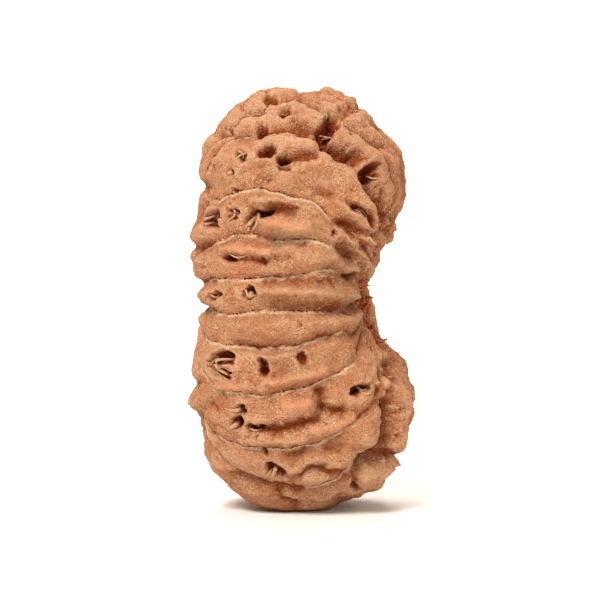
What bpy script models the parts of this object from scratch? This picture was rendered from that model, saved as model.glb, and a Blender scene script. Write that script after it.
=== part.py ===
# An eighteen mukhi rudraksha bead: the woody stone of one fruit, standing on its lower end.
# The stone is one solid. Eighteen seams run over it from pole to pole and part its ribs, and
# pits, ridges and hollows break up each rib. +Z is up, and its front faces -Y. The axis from
# pole to pole lies level, turned a little so that the right pole shows from the front.
# Sizes are in millimetres until the mesh is made, which is in metres.

import random
from math import cos, radians, sin

import bmesh
import bpy
import numpy as np
from mathutils import Vector, noise

MM = 0.001

# The smooth body
HEIGHT = 34.0
MIDDLE = 17.0  # height of the axis from pole to pole
REACH_UP = 16.25  # from the middle to the crown, before the relief is added
REACH_DOWN = 17.35  # past the surface that the bead stands on, so that its foot is flat
END_ROUNDNESS = 2.5  # 2 is an ellipse, and more is squarer
PLAN_ROUNDNESS = 2.5
AXIS_TURN = radians(17)
WAIST_HEIGHT = 5.0  # how far up and down the waist at each pole spreads
WAIST_LEAN = 1.3  # how much further the waist reaches on one side of a pole than the other

# Height, and reach to the left, right, front and back there, before the ends round over
OUTLINE = np.array([
    (-1.0, 9.2, 5.4, 9.2, 9.2),
    (1.5, 9.3, 10.3, 9.3, 9.3),
    (4.0, 9.5, 10.4, 9.4, 9.5),
    (7.0, 8.8, 9.7, 9.4, 9.6),
    (10.5, 9.1, 8.9, 9.2, 9.4),
    (13.5, 8.3, 6.6, 8.9, 9.1),
    (17.0, 7.9, 5.2, 8.7, 9.0),
    (20.0, 8.5, 6.0, 8.9, 9.1),
    (23.0, 8.6, 7.7, 9.2, 9.3),
    (26.5, 9.2, 8.8, 9.4, 9.5),
    (29.5, 10.0, 8.6, 9.5, 9.6),
    (32.5, 10.2, 8.7, 9.4, 9.6),
    (35.0, 10.2, 9.2, 9.3, 9.5),
])

# The view from the front in which the seams and the marks below are laid out
VIEW_DISTANCE = 320.0
VIEW_TILT = radians(5)

# Seams across the front, from the crown to the foot: points right of and above the middle
SEAM_COUNT = 18
FRONT_SEAMS = (
    ((-6.3, 13.4), (-5.7, 13.7), (-4.9, 14.5), (-3.2, 14.9), (-2.2, 15.5), (-0.1, 15.9), (1.8, 15.1)),
    ((-6.9, 12.0), (-4.5, 13.1), (-3.3, 13.1), (-0.7, 13.3), (1.1, 12.8), (2.7, 11.4), (4.1, 10.8),
     (4.8, 9.5), (6.1, 7.8), (6.5, 6.9)),
    ((-7.4, 8.0), (-6.7, 7.9), (-4.7, 8.6), (-3.3, 8.7), (-0.6, 8.1), (0.8, 7.8), (2.3, 6.4),
     (3.2, 5.3), (4.6, 4.0), (5.3, 3.4)),
    ((-7.7, 4.2), (-6.7, 4.5), (-5.3, 5.0), (-2.1, 4.5), (1.5, 4.4), (3.6, 3.4), (4.9, 2.3)),
    ((-7.2, 1.3), (-3.9, 1.4), (-1.5, 1.5), (4.1, 1.4)),
    ((-7.5, -1.2), (-5.6, -1.4), (-3.1, -1.1), (4.0, -0.7)),
    ((-7.8, -3.5), (-7.0, -3.7), (-4.9, -4.0), (-3.2, -4.2), (-0.7, -4.0), (1.5, -3.2), (3.5, -2.5),
     (4.8, -1.7)),
    ((-8.3, -5.9), (-6.9, -7.5), (-4.8, -7.8), (-2.5, -7.9), (-0.1, -7.5), (2.7, -6.2), (4.9, -3.9)),
    ((-7.4, -10.8), (-6.9, -11.2), (-4.9, -12.0), (-2.1, -12.4), (1.4, -12.0), (3.7, -10.4),
     (5.7, -8.8), (6.4, -6.7)),
    ((-5.3, -14.1), (-2.9, -15.0), (-0.1, -15.4), (1.5, -15.3), (2.8, -14.9), (4.9, -13.0), (6.3, -11.6),
     (6.9, -10.2), (7.1, -8.8), (6.9, -7.6)),
)
LEAST_RIB_TURN = 5.0  # degrees between two seams
REST_BEND = 2.5  # degrees that the seams round the back bend to and fro

# How the seams and ribs stand out
SEAM_WIDTH, SEAM_DEPTH = 0.35, 0.28
RIB_SHOULDER, RIB_CROWN = 1.2, 0.24
REST_CROWN = 0.6  # how much more the ribs round the back swell
KNOB_HEIGHT = 1.1  # ribs stand further out towards the poles
KNOB_UNEVENNESS = 0.5
KNOBS_IN_FRONT = 0.2  # how much of their height they keep where the front's own marks stand
SEAM_WANDER = ((2.2, 0.7), (0.9, 0.4))  # size of the unevenness of the seams, and their turn in degrees
KNOB_START, KNOB_FULL, KNOB_END, POLE = 38.0, 62.0, 74.0, 86.0  # degrees from the middle of a rib

# The dimple at each pole, round a core of torn fibre: depth, half width, half height, and how far
# back of the pole it lies
RIGHT_DIMPLE = (1.4, 1.3, 4.0, 1.6)
LEFT_DIMPLE = (1.9, 2.2, 3.4, 0.0)
CORE_HEIGHT, CORE_SPREAD = 1.3, 0.45

# Marks on the front, laid out as the seams are: half width, height or depth, and points
RIDGES = (
    (1.10, 0.85, ((-2.8, 16.6), (-0.9, 17.0))),
    (0.90, 0.40, ((-3.9, 16.2), (-5.0, 15.3))),
    (0.65, 0.18, ((-6.1, 12.5), (-4.5, 13.7), (-1.7, 14.0), (-0.1, 14.5))),
    (1.00, 1.00, ((2.1, 16.8), (3.5, 16.5), (4.5, 15.7))),
    (0.65, 0.25, ((4.9, 14.3), (5.6, 13.3))),
    (0.50, 0.65, ((3.0, 13.6), (3.6, 13.0), (4.3, 12.2), (5.1, 11.6), (5.6, 11.3))),
    (1.05, 0.45, ((7.2, 11.1), (7.4, 8.6))),
    (1.10, 0.60, ((6.2, 12.7), (7.2, 11.6))),
    (0.60, 0.80, ((7.3, 5.6), (7.1, 4.8))),
    (0.57, 0.55, ((-2.3, 12.4), (-0.9, 12.6), (0.9, 12.2))),
    (0.73, 0.45, ((-2.3, 8.6), (-0.9, 9.5), (0.3, 10.4), (1.9, 11.1))),
    (0.97, 0.30, ((3.7, 10.1),)),
    (0.45, 0.40, ((4.7, 8.9), (5.5, 7.8), (6.0, 6.9), (6.0, 6.1))),
    (0.34, 0.50, ((2.9, 7.9), (3.9, 7.0), (4.9, 6.1), (5.6, 5.6))),
    (0.24, 0.60, ((5.0, 4.9), (5.7, 4.4))),
    (0.32, 0.75, ((2.9, 5.6), (3.7, 4.9), (4.5, 4.1), (4.9, 3.4), (5.2, 2.6), (5.2, 1.9))),
    (0.90, 0.50, ((-8.4, 4.9),)),
    (0.80, 0.30, ((-8.5, 2.9),)),
    (0.60, 0.25, ((-8.2, 0.4),)),
    (0.40, 0.40, ((-3.7, 7.8), (-2.1, 7.8), (-0.5, 7.5))),
    (0.65, 0.65, ((-3.0, 6.1), (-1.3, 5.7), (0.2, 5.6))),
    (0.73, 0.20, ((0.9, 7.2), (2.0, 5.9), (2.8, 4.4))),
    (0.48, 0.60, ((-6.1, 4.0), (-4.1, 3.8), (-2.7, 3.7))),
    (0.73, 0.15, ((-0.1, 3.3), (2.3, 2.8))),
    (0.32, 0.20, ((-5.2, 0.5), (-4.8, 0.1))),
    (0.48, 0.45, ((-3.5, 0.6), (-0.1, 0.5), (4.0, 0.2))),
    (0.55, 0.40, ((4.0, 0.7), (4.6, 0.4))),
    (0.65, 0.42, ((-5.7, -2.0), (-3.3, -2.4), (-0.9, -2.1), (4.0, -1.9))),
    (0.48, 0.25, ((-4.9, -4.5), (-3.2, -4.8), (-0.9, -4.5))),
    (0.60, 0.75, ((-8.4, -8.3),)),
    (0.48, 0.50, ((-2.8, -6.9), (-0.5, -6.5), (1.9, -6.0))),
    (0.40, 0.40, ((-6.9, -7.3), (-4.5, -7.3), (-3.2, -7.4))),
    (1.13, 0.35, ((5.2, -5.5),)),
    (0.65, 0.50, ((-1.2, -8.6), (-0.2, -8.6), (0.8, -8.4))),
    (0.73, 0.30, ((2.7, -7.8), (3.4, -7.4))),
    (0.48, 0.30, ((4.0, -8.3), (5.6, -8.2))),
    (0.65, 0.50, ((1.4, -10.7), (2.5, -10.6), (3.9, -9.9))),
    (0.40, 0.45, ((-4.9, -11.6), (-3.2, -11.6), (-1.3, -11.6), (0.3, -11.4))),
    (0.97, 0.55, ((5.2, -10.3), (5.2, -11.2))),
    (0.38, 0.75, ((6.6, -6.9), (7.2, -7.3), (7.7, -7.9), (7.9, -8.8), (7.8, -10.5), (7.6, -12.0))),
    (0.57, 0.35, ((8.4, -7.5), (8.6, -9.9), (8.3, -11.7))),
    (0.48, 0.35, ((3.6, -12.4), (4.1, -13.4))),
    (0.42, 0.28, ((-1.5, -13.7), (-0.8, -14.0), (-0.1, -13.7), (0.6, -13.2), (1.7, -13.1), (3.0, -13.5))),
    (0.40, 0.30, ((-0.1, -14.6), (1.9, -14.4), (3.4, -14.5))),
    (0.75, 0.22, ((4.8, -15.8), (5.6, -15.0), (6.8, -13.9))),
    (0.32, 0.45, ((7.9, -13.4),)),
    (0.55, 0.25, ((7.6, -4.6), (8.1, -5.1))),
    (0.40, 0.30, ((4.7, -14.4), (6.0, -14.0), (7.0, -13.7))),
)
HOLLOWS = (
    (0.28, 0.22, ((-0.1, 15.9), (-0.2, 17.0))),
    (0.28, 0.22, ((1.4, 15.7), (1.4, 17.0))),
    (0.75, 0.12, ((0.7, 16.8),)),
    (0.40, 0.45, ((-6.7, 13.2), (-5.6, 13.7), (-4.7, 14.5))),
    (0.32, 0.50, ((-4.4, 14.8), (-3.2, 14.8))),
    (0.48, 0.55, ((-0.2, 13.7), (1.1, 13.5))),
    (0.34, 0.50, ((3.0, 15.0), (3.9, 14.9), (4.6, 15.1))),
    (0.40, 0.40, ((3.6, 14.5), (4.1, 13.7), (4.9, 12.8), (5.7, 12.1))),
    (0.32, 0.45, ((5.3, 12.6), (6.0, 11.9))),
    (0.50, 1.30, ((5.4, 9.3), (6.1, 8.4), (6.6, 7.5), (6.9, 6.6), (6.8, 5.6))),
    (0.30, 0.55, ((6.6, 5.6), (6.3, 4.7), (5.9, 4.0))),
    (0.48, 0.25, ((-7.0, 10.5),)),
    (0.40, 0.70, ((-1.4, 11.1), (-0.1, 11.3), (1.1, 11.5))),
    (0.73, 0.40, ((-3.2, 9.9), (-2.7, 9.6))),
    (0.40, 0.40, ((1.4, 8.5), (2.7, 8.1), (4.0, 7.4))),
    (0.62, 0.90, ((3.5, 5.9), (4.6, 5.3))),
    (0.42, 0.75, ((-2.7, 7.0), (-1.7, 7.1), (-0.7, 7.1))),
    (0.40, 0.50, ((-3.8, 7.1), (-4.1, 5.9))),
    (0.48, 0.25, ((-2.5, 4.9), (0.4, 4.8))),
    (0.30, 0.40, ((-5.5, 3.1), (-4.1, 3.1), (-3.0, 3.0))),
    (0.32, 0.25, ((-3.0, 3.0), (-0.9, 3.2))),
    (0.32, 0.40, ((-2.1, 4.4), (0.1, 4.3))),
    (0.60, 0.40, ((2.2, 2.2), (3.2, 1.6))),
    (0.40, 0.30, ((-8.0, 2.5),)),
    (0.55, 0.68, ((-8.5, 8.9), (-7.9, 8.9))),
    (0.40, 0.45, ((-8.7, 4.1), (-7.6, 4.2))),
    (0.40, 0.38, ((-8.5, 1.2), (-7.5, 1.2))),
    (0.45, 0.45, ((-8.7, -6.9),)),
    (0.40, 0.50, ((-8.3, -0.8), (-7.5, -1.2))),
    (0.50, 0.75, ((3.4, 4.0), (4.2, 3.3))),
    (0.32, 0.45, ((-2.9, 1.3), (1.0, 1.2), (2.6, 1.2))),
    (0.65, 0.50, ((-2.1, -0.6), (-0.1, -0.7), (2.9, -0.8))),
    (0.32, 0.35, ((-0.1, -2.2),)),
    (0.40, 0.35, ((-5.3, -3.8), (-3.2, -4.2), (-0.1, -3.9), (2.3, -3.1))),
    (0.48, 0.25, ((-2.1, -6.1), (-1.2, -6.0))),
    (0.48, 0.70, ((1.5, -7.7), (1.6, -8.9))),
    (0.40, 0.55, ((1.9, -9.0), (3.1, -9.1))),
    (0.65, 0.30, ((-7.1, -8.7), (-6.4, -8.7))),
    (0.40, 0.70, ((-3.2, -10.7), (-1.7, -10.7), (-0.1, -10.3), (1.4, -9.9))),
    (0.42, 0.90, ((7.1, -5.2), (7.3, -5.9), (7.3, -6.4))),
    (0.45, 1.00, ((6.9, -8.6), (7.0, -9.6), (7.0, -10.7), (6.7, -12.0), (5.8, -12.9), (4.9, -13.3))),
    (0.30, 0.60, ((8.2, -7.8), (8.4, -8.6), (8.4, -10.3), (8.2, -11.9))),
    (0.36, 0.90, ((6.0, -12.9), (6.9, -12.7), (8.2, -12.8))),
    (0.60, 0.60, ((7.6, -14.1), (7.2, -14.7))),
    (0.32, 0.60, ((4.9, -13.0), (4.5, -14.0), (4.4, -15.1))),
    (0.57, 0.38, ((-1.0, -12.8), (-0.2, -12.6))),
    (0.48, 0.40, ((2.3, -12.3), (3.2, -12.1))),
    (0.36, 0.38, ((-1.5, -14.3), (-0.8, -14.6), (-0.1, -14.3), (0.6, -13.8), (1.7, -13.8), (3.0, -14.2),
                  (3.7, -14.6))),
    (0.32, 0.45, ((-5.3, -14.3), (-4.0, -15.0), (-2.1, -15.4), (-0.1, -15.6))),
    (0.32, 0.50, ((-2.0, -15.8), (-1.3, -16.4), (-0.4, -16.8))),
    (0.90, 0.60, ((3.4, -16.9), (5.2, -16.4))),
    (0.60, 0.85, ((6.3, 13.6),)),
    (0.50, 1.25, ((1.9, 12.5), (2.8, 12.0), (3.8, 11.5), (4.5, 11.2))),
)
PITS = (
    (0.28, 0.85, ((-5.9, 13.7), (-5.3, 14.0), (-4.7, 14.6))),
    (0.28, 0.85, ((-4.4, 14.7), (-3.3, 14.8))),
    (0.32, 0.85, ((-2.7, 15.6), (-2.1, 15.6))),
    (0.40, 0.80, ((-1.5, 14.6), (-1.1, 14.9))),
    (0.40, 0.90, ((-3.4, 13.4), (-3.1, 13.6))),
    (0.78, 1.50, ((2.5, 14.4), (2.6, 14.0), (2.2, 13.6), (1.8, 13.3))),
    (0.30, 0.70, ((3.6, 13.5), (3.9, 13.0))),
    (0.30, 0.60, ((1.6, 12.6), (2.6, 12.3), (3.2, 11.9), (4.2, 11.4))),
    (0.46, 1.50, ((5.7, 10.5), (5.1, 9.9), (5.8, 9.7))),
    (0.44, 0.90, ((-4.9, 11.5), (-4.7, 11.3))),
    (0.38, 0.75, ((-5.7, 10.1),)),
    (0.50, 1.30, ((-3.2, 11.6), (-2.4, 11.8))),
    (0.48, 1.00, ((-1.6, 11.1), (-1.2, 11.1))),
    (0.32, 0.50, ((-1.6, 10.4), (-1.1, 10.3))),
    (0.24, 0.45, ((-5.5, 8.6),)),
    (0.45, 1.00, ((4.5, 7.2), (5.1, 6.8), (5.6, 6.1))),
    (0.28, 0.80, ((6.0, 5.3), (5.8, 4.9))),
    (0.28, 0.80, ((5.4, 3.8), (5.5, 3.0))),
    (0.60, 0.60, ((-7.4, 6.1), (-7.0, 6.6))),
    (0.40, 0.40, ((-5.7, 6.5), (-5.4, 6.9))),
    (0.38, 1.40, ((-3.6, 6.8), (-3.2, 6.6), (-2.7, 6.8))),
    (0.26, 0.45, ((2.6, 5.2),)),
    (0.29, 1.00, ((-6.1, 3.2), (-5.5, 3.2))),
    (0.32, 0.90, ((4.1, 1.4), (4.5, 1.8))),
    (0.36, 0.80, ((-7.2, 0.0), (-6.8, 0.2))),
    (0.62, 1.00, ((-4.1, 0.35),)),
    (0.42, 1.30, ((-5.7, -4.75), (-6.4, -4.65), (-6.95, -4.85), (-7.3, -5.4), (-7.1, -5.9))),
    (0.55, 1.10, ((-7.2, -5.1), (-7.15, -5.6))),
    (0.24, 0.70, ((-6.5, -5.25), (-5.5, -5.25))),
    (0.22, 0.60, ((-6.8, -6.1), (-5.9, -6.4))),
    (0.42, 1.10, ((-3.1, -5.2), (-3.0, -6.1))),
    (0.44, 0.75, ((0.0, -4.7), (0.2, -5.1))),
    (0.52, 1.20, ((-4.85, -9.05),)),
    (0.62, 1.20, ((-5.15, -10.1),)),
    (0.42, 1.00, ((-4.1, -10.5), (-3.4, -10.6))),
    (0.40, 1.20, ((4.3, -7.6), (5.3, -7.2))),
    (0.21, 0.60, ((-3.2, -12.4), (-2.8, -12.6))),
    (0.53, 1.10, ((-2.4, -13.75), (-1.6, -14.1))),
    (0.30, 0.90, ((4.2, -15.2), (4.4, -15.4))),
    (0.26, 0.70, ((4.9, -12.7), (5.3, -13.1))),
)

# Marks all over the rest, drawn at random: half length, half width, height, and share of all
MARK_SEED = 18
MARK_COUNT = 620
MARK_KINDS = {
    "pit": (0.25, 0.42, -1.0, 0.18),
    "ridge": (1.5, 0.75, 0.50, 0.45),
    "hollow": (0.8, 0.55, -0.55, 0.37),
}
MARK_SPREAD = 0.35  # how far a mark turns off the line of its rib

# Where the marks on the front and those drawn at random fade into each other: the share of the
# surface's turn to the viewer
FRONT_FADE = (-0.4, -0.1)
REST_FADE = (-0.6, -0.15)

# Uneven surface, from coarse to fine: size of the lumps, and their height
GRAIN = ((2.2, 0.20), (1.0, 0.10))

# The mesh
CELLS = 36  # across each side, and twice as many up the height
KEPT_FACES = 0.435

# The flat foot, over which the relief fades
FOOT_FADE = 1.2
FOOT_RELIEF = 0.3

# Finish
SHELL_COLOUR = (0.42, 0.20, 0.10, 1.0)
SHELL_ROUGHNESS = 0.72

POLE_AXIS = np.array([cos(AXIS_TURN), -sin(AXIS_TURN), 0.0])
CROSS_AXIS = np.array([sin(AXIS_TURN), cos(AXIS_TURN), 0.0])
TO_VIEWER = np.array([0.0, -cos(VIEW_TILT), sin(VIEW_TILT)])
VIEW_UP = np.array([0.0, sin(VIEW_TILT), cos(VIEW_TILT)])
HALF_DEPTH = 9.2
HALF_SPAN = 8.6


def smooth_step(low, high, x):
    t = np.clip((x - low) / (high - low), 0, 1)
    return t * t * (3 - 2 * t)


def smooth_table(x, stations, values):
    """A smooth curve through the values, with slopes from their neighbours."""
    slopes = np.gradient(values, stations)
    k = np.clip(np.searchsorted(stations, x) - 1, 0, len(stations) - 2)
    span = stations[k + 1] - stations[k]
    t = np.clip((x - stations[k]) / span, 0, 1)
    ends = values[k] * (1 + 2 * t) * (1 - t) ** 2 + values[k + 1] * t * t * (3 - 2 * t)
    return ends + span * t * (1 - t) * (slopes[k] * (1 - t) - slopes[k + 1] * t)


def reaches(z, right, back):
    """Reach along X and along Y at height z, towards the plan direction (right, back)."""
    columns = [smooth_table(z, OUTLINE[:, 0], OUTLINE[:, i]) for i in range(1, 5)]
    lean = WAIST_LEAN * back * np.exp(-(((z - MIDDLE) / WAIST_HEIGHT) ** 2))
    along_x = np.where(right > 0, columns[1] + lean, columns[0] - lean)
    return along_x, np.where(back > 0, columns[3], columns[2])


def plan_radius(z, right, back):
    along_x, along_y = reaches(z, right, back)
    total = np.abs(right / along_x) ** PLAN_ROUNDNESS + np.abs(back / along_y) ** PLAN_ROUNDNESS
    return total ** (-1 / PLAN_ROUNDNESS)


def body_points(directions):
    """Points of the smooth body in these directions from its middle."""
    across, up = np.hypot(directions[:, 0], directions[:, 1]), directions[:, 2]
    bearing = np.arctan2(directions[:, 1], directions[:, 0])
    right, back = np.cos(bearing), np.sin(bearing)
    grow = (across**END_ROUNDNESS + np.abs(up) ** END_ROUNDNESS) ** (-1 / END_ROUNDNESS)
    z = MIDDLE + np.where(up > 0, REACH_UP, REACH_DOWN) * up * grow
    radius = plan_radius(z, right, back) * across * grow
    return np.stack([radius * right, radius * back, z], 1)


def is_inside(points):
    x, y, z = points.T
    bearing = np.arctan2(y, x)
    level = np.abs(z - MIDDLE) / np.where(z > MIDDLE, REACH_UP, REACH_DOWN)
    narrowing = (1 - np.clip(level, 0, 0.9999) ** END_ROUNDNESS) ** (1 / END_ROUNDNESS)
    return np.hypot(x, y) < plan_radius(z, np.cos(bearing), np.sin(bearing)) * narrowing


def seen_from_front(points):
    """Where points show in the view from the front: right of the middle, and above it."""
    from_middle = points - [0, 0, MIDDLE]
    shrink = 1 - from_middle @ TO_VIEWER / VIEW_DISTANCE
    return from_middle[:, 0] / shrink, from_middle @ VIEW_UP / shrink


def front_points(seen):
    """The points of the smooth body that show at these places of the view from the front."""
    right, above = np.array(seen, float).T
    near, far = np.full(len(right), 14.0), np.zeros(len(right))
    for _ in range(30):
        depth = (near + far) / 2
        shrink = 1 - depth / VIEW_DISTANCE
        points = np.outer(right * shrink, [1, 0, 0]) + np.outer(above * shrink, VIEW_UP)
        points += np.outer(depth, TO_VIEWER) + [0, 0, MIDDLE]
        within = is_inside(points)
        near, far = np.where(within, near, depth), np.where(within, depth, far)
    return points


def pole_angles(points):
    """Turn round the axis from pole to pole, way towards a pole, both in degrees, and ring size."""
    level, depth = (points[:, 2] - MIDDLE) / (HEIGHT / 2), -(points @ CROSS_AXIS) / HALF_DEPTH
    ring = np.hypot(level, depth)
    turn = np.degrees(np.arctan2(level, depth))
    return turn, np.degrees(np.arctan2(points @ POLE_AXIS / HALF_SPAN, ring)), ring


def seam_turns(way):
    """The turn of each seam at each point's way towards a pole, falling, and the first again."""
    rows, middles = [], []
    for seam in FRONT_SEAMS:
        turn, along, _ = pole_angles(front_points(seam))
        order = np.argsort(along)
        row = np.interp(way, along[order], turn[order])
        rows.append(np.minimum(row, rows[-1] - LEAST_RIB_TURN) if rows else row)
        middles.append(turn.mean())
    back_ribs = SEAM_COUNT - len(FRONT_SEAMS) + 1
    first, last = middles[0] - 360, middles[-1]
    for k in range(1, back_ribs):
        bend = REST_BEND * np.sin(np.radians(2.3 * way + 70 * k))
        rows.append(last + (first - last) * k / back_ribs + bend)
    return np.array(rows + [rows[0] - 360]).T


def rib_places(points):
    """How far across its rib each point is, from 0 to 1, and its distance to the nearest seam."""
    turn, way, ring = pole_angles(points)
    for place, (size, reach) in enumerate(SEAM_WANDER):
        turn = turn + reach * noise_at(points, size, 11.0 - 6 * place)
    seams = seam_turns(way)
    turn = (turn - seams[:, 0]) % -360.0 + seams[:, 0]
    rib = np.clip((seams >= turn[:, None]).sum(1) - 1, 0, SEAM_COUNT - 1)
    each = np.arange(len(points))
    above, below = seams[each, rib], seams[each, rib + 1]
    across = (above - turn) / np.maximum(above - below, 1e-3)
    angle = np.radians(turn)
    size = ring * np.hypot(HEIGHT / 2 * np.cos(angle), HALF_DEPTH * np.sin(angle))
    return across, np.minimum(across, 1 - across) * np.radians(above - below) * size, way


def noise_at(points, size, place, stretch=(1, 1, 1)):
    scaled = points / (size * np.array(stretch)) + place
    return np.array([noise.noise(Vector(point)) for point in scaled])


def bump(reach):
    return np.exp(-0.9 * reach**2)


def steep_bump(reach):
    return 1 - smooth_step(0.45, 1.15, reach)


def path_distance(right, above, path):
    """Distance in the view from the front to a path of straight pieces."""
    nearest = np.full(len(right), np.inf)
    for (x, z), (next_x, next_z) in zip(path, path[1:] or path):
        run = np.array([next_x - x, next_z - z])
        along = ((right - x) * run[0] + (above - z) * run[1]) / max(run @ run, 1e-9)
        along = np.clip(along, 0, 1)
        nearest = np.minimum(nearest, np.hypot(right - x - along * run[0], above - z - along * run[1]))
    return nearest


def front_relief(points):
    right, above = seen_from_front(points)
    height = np.zeros(len(points))
    for marks, shape, sign in ((RIDGES, bump, 1), (HOLLOWS, bump, -1), (PITS, steep_bump, -1)):
        for width, size, path in marks:
            height += sign * size * shape(path_distance(right, above, path) / width)
    return height


def drawn_relief(points):
    """Pits, ridges and hollows drawn at random, most of them along their rib."""
    draw = random.Random(MARK_SEED)
    kinds = list(MARK_KINDS)
    shares = [MARK_KINDS[kind][3] for kind in kinds]
    raised, sunk = np.zeros(len(points)), np.zeros(len(points))
    for _ in range(MARK_COUNT):
        direction = np.array([[draw.gauss(0, 1), draw.gauss(0, 1), draw.gauss(0, 1.4)]])
        centre = body_points(direction / np.linalg.norm(direction))[0]
        kind = draw.choices(kinds, shares)[0]
        length, width, size, _ = MARK_KINDS[kind]
        length *= draw.uniform(0.5, 1.3)
        width *= draw.uniform(0.7, 1.3)
        size *= draw.uniform(0.6, 1.3)
        line = POLE_AXIS + [draw.uniform(-MARK_SPREAD, MARK_SPREAD) for _ in range(3)]
        offset = points - centre
        along = np.clip(offset @ line, -length, length)
        reach = np.linalg.norm(offset - along[:, None] * line, axis=1) / width
        if kind == "ridge":
            raised = np.maximum(raised, size * bump(reach))
        else:
            sunk = np.minimum(sunk, size * (steep_bump if kind == "pit" else bump)(reach))
    return raised + sunk


def rib_relief(points, unseen):
    across, to_seam, way = rib_places(points)
    height = RIB_CROWN * (0.5 - bump(to_seam / RIB_SHOULDER)) - SEAM_DEPTH * bump(to_seam / SEAM_WIDTH)
    height += REST_CROWN * unseen * (np.sin(np.pi * across) ** 0.7 - 0.7)
    outer = smooth_step(KNOB_START, KNOB_FULL, np.abs(way)) * (1 - smooth_step(KNOB_END, POLE, np.abs(way)))
    knobs = KNOB_HEIGHT * (np.sin(np.pi * across) ** 0.7 - 0.6)
    knobs += KNOB_UNEVENNESS * noise_at(points, 1.5, 21.0)
    return height + outer * (KNOBS_IN_FRONT + (1 - KNOBS_IN_FRONT) * unseen) * knobs


def pole_relief(points):
    side = points @ POLE_AXIS
    height = np.zeros(len(points))
    for sign, (depth, half_width, half_height, set_back) in ((1, RIGHT_DIMPLE), (-1, LEFT_DIMPLE)):
        aside = (points @ CROSS_AXIS - set_back) / half_width
        reach = np.hypot(aside, (points[:, 2] - MIDDLE) / half_height)
        dimple = CORE_HEIGHT * bump(reach / CORE_SPREAD) - depth * bump(reach)
        height += np.where(sign * side > 0, dimple, 0)
    return height


def ball_grid(cells):
    """A cube cut into cells and swelled to a ball: its points as directions, and its faces."""
    mesh = bmesh.new()
    bmesh.ops.create_cube(mesh, size=2)
    bmesh.ops.subdivide_edges(mesh, edges=mesh.edges[:], cuts=cells - 1, use_grid_fill=True)
    upright = [edge for edge in mesh.edges if abs(edge.verts[0].co.z - edge.verts[1].co.z) > 1 / cells]
    bmesh.ops.subdivide_edges(mesh, edges=upright, cuts=1, use_grid_fill=True)
    mesh.verts.index_update()
    x, y, z = np.array([vert.co for vert in mesh.verts], float).T
    faces = [[vert.index for vert in face.verts] for face in mesh.faces]
    mesh.free()
    directions = np.stack([
        x * np.sqrt(1 - y * y / 2 - z * z / 2 + y * y * z * z / 3),
        y * np.sqrt(1 - z * z / 2 - x * x / 2 + z * z * x * x / 3),
        z * np.sqrt(1 - x * x / 2 - y * y / 2 + x * x * y * y / 3),
    ], 1)
    return directions, faces


def outward_normals(points, faces):
    corners = np.array(faces)
    first = points[corners[:, 2]] - points[corners[:, 0]]
    second = points[corners[:, 3]] - points[corners[:, 1]]
    total = np.zeros_like(points)
    for corner in corners.T:
        np.add.at(total, corner, np.cross(first, second))
    return total / np.linalg.norm(total, axis=1)[:, None]


def bead_points(directions, faces):
    """The finished surface: the smooth body moved out and in along its normals."""
    body = body_points(directions)
    normals = outward_normals(body, faces)
    facing = normals @ TO_VIEWER
    unseen = 1 - smooth_step(*REST_FADE, facing)
    height = rib_relief(body, unseen) + pole_relief(body)
    height += smooth_step(*FRONT_FADE, facing) * front_relief(body) + unseen * drawn_relief(body)
    for place, (size, rise) in enumerate(GRAIN):
        height += rise * noise_at(body, size, 3.0 + 6 * place, (1.6, 1, 1))
    height *= FOOT_RELIEF + (1 - FOOT_RELIEF) * smooth_step(0, FOOT_FADE, body[:, 2])
    points = body + normals * height[:, None]
    points[:, 2] = np.maximum(points[:, 2], 0) * HEIGHT / points[:, 2].max()
    points[:, :2] -= (points[:, :2].min(0) + points[:, :2].max(0)) / 2
    return points


def shell_material():
    material = bpy.data.materials.new("bead_shell")
    material.use_nodes = True
    finish = material.node_tree.nodes["Principled BSDF"]
    finish.inputs["Base Color"].default_value = SHELL_COLOUR
    finish.inputs["Roughness"].default_value = SHELL_ROUGHNESS
    finish.inputs["Metallic"].default_value = 0.0
    return material


def make_bead():
    directions, faces = ball_grid(CELLS)
    points = bead_points(directions, faces) * MM
    mesh = bpy.data.meshes.new("bead")
    mesh.from_pydata([tuple(point) for point in points], [], faces)
    mesh.materials.append(shell_material())
    mesh.shade_smooth()
    bead = bpy.data.objects.new("bead", mesh)
    bpy.context.scene.collection.objects.link(bead)
    thin = bead.modifiers.new("fewer faces", "DECIMATE")
    thin.ratio = KEPT_FACES
    return bead


def main():
    for old in list(bpy.data.objects):
        bpy.data.objects.remove(old)
    make_bead()


if __name__ == "__main__":
    main()
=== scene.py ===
"""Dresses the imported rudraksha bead: its ribbed shell, the fibre in its pits and at its poles, and the stage.

Sizes are in millimetres until a mesh is made, which is in metres. +Z is up and the front faces -Y.
"""

import random
from math import cos, pi, radians, sin

import bpy
import numpy as np
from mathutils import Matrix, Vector, noise


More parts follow.
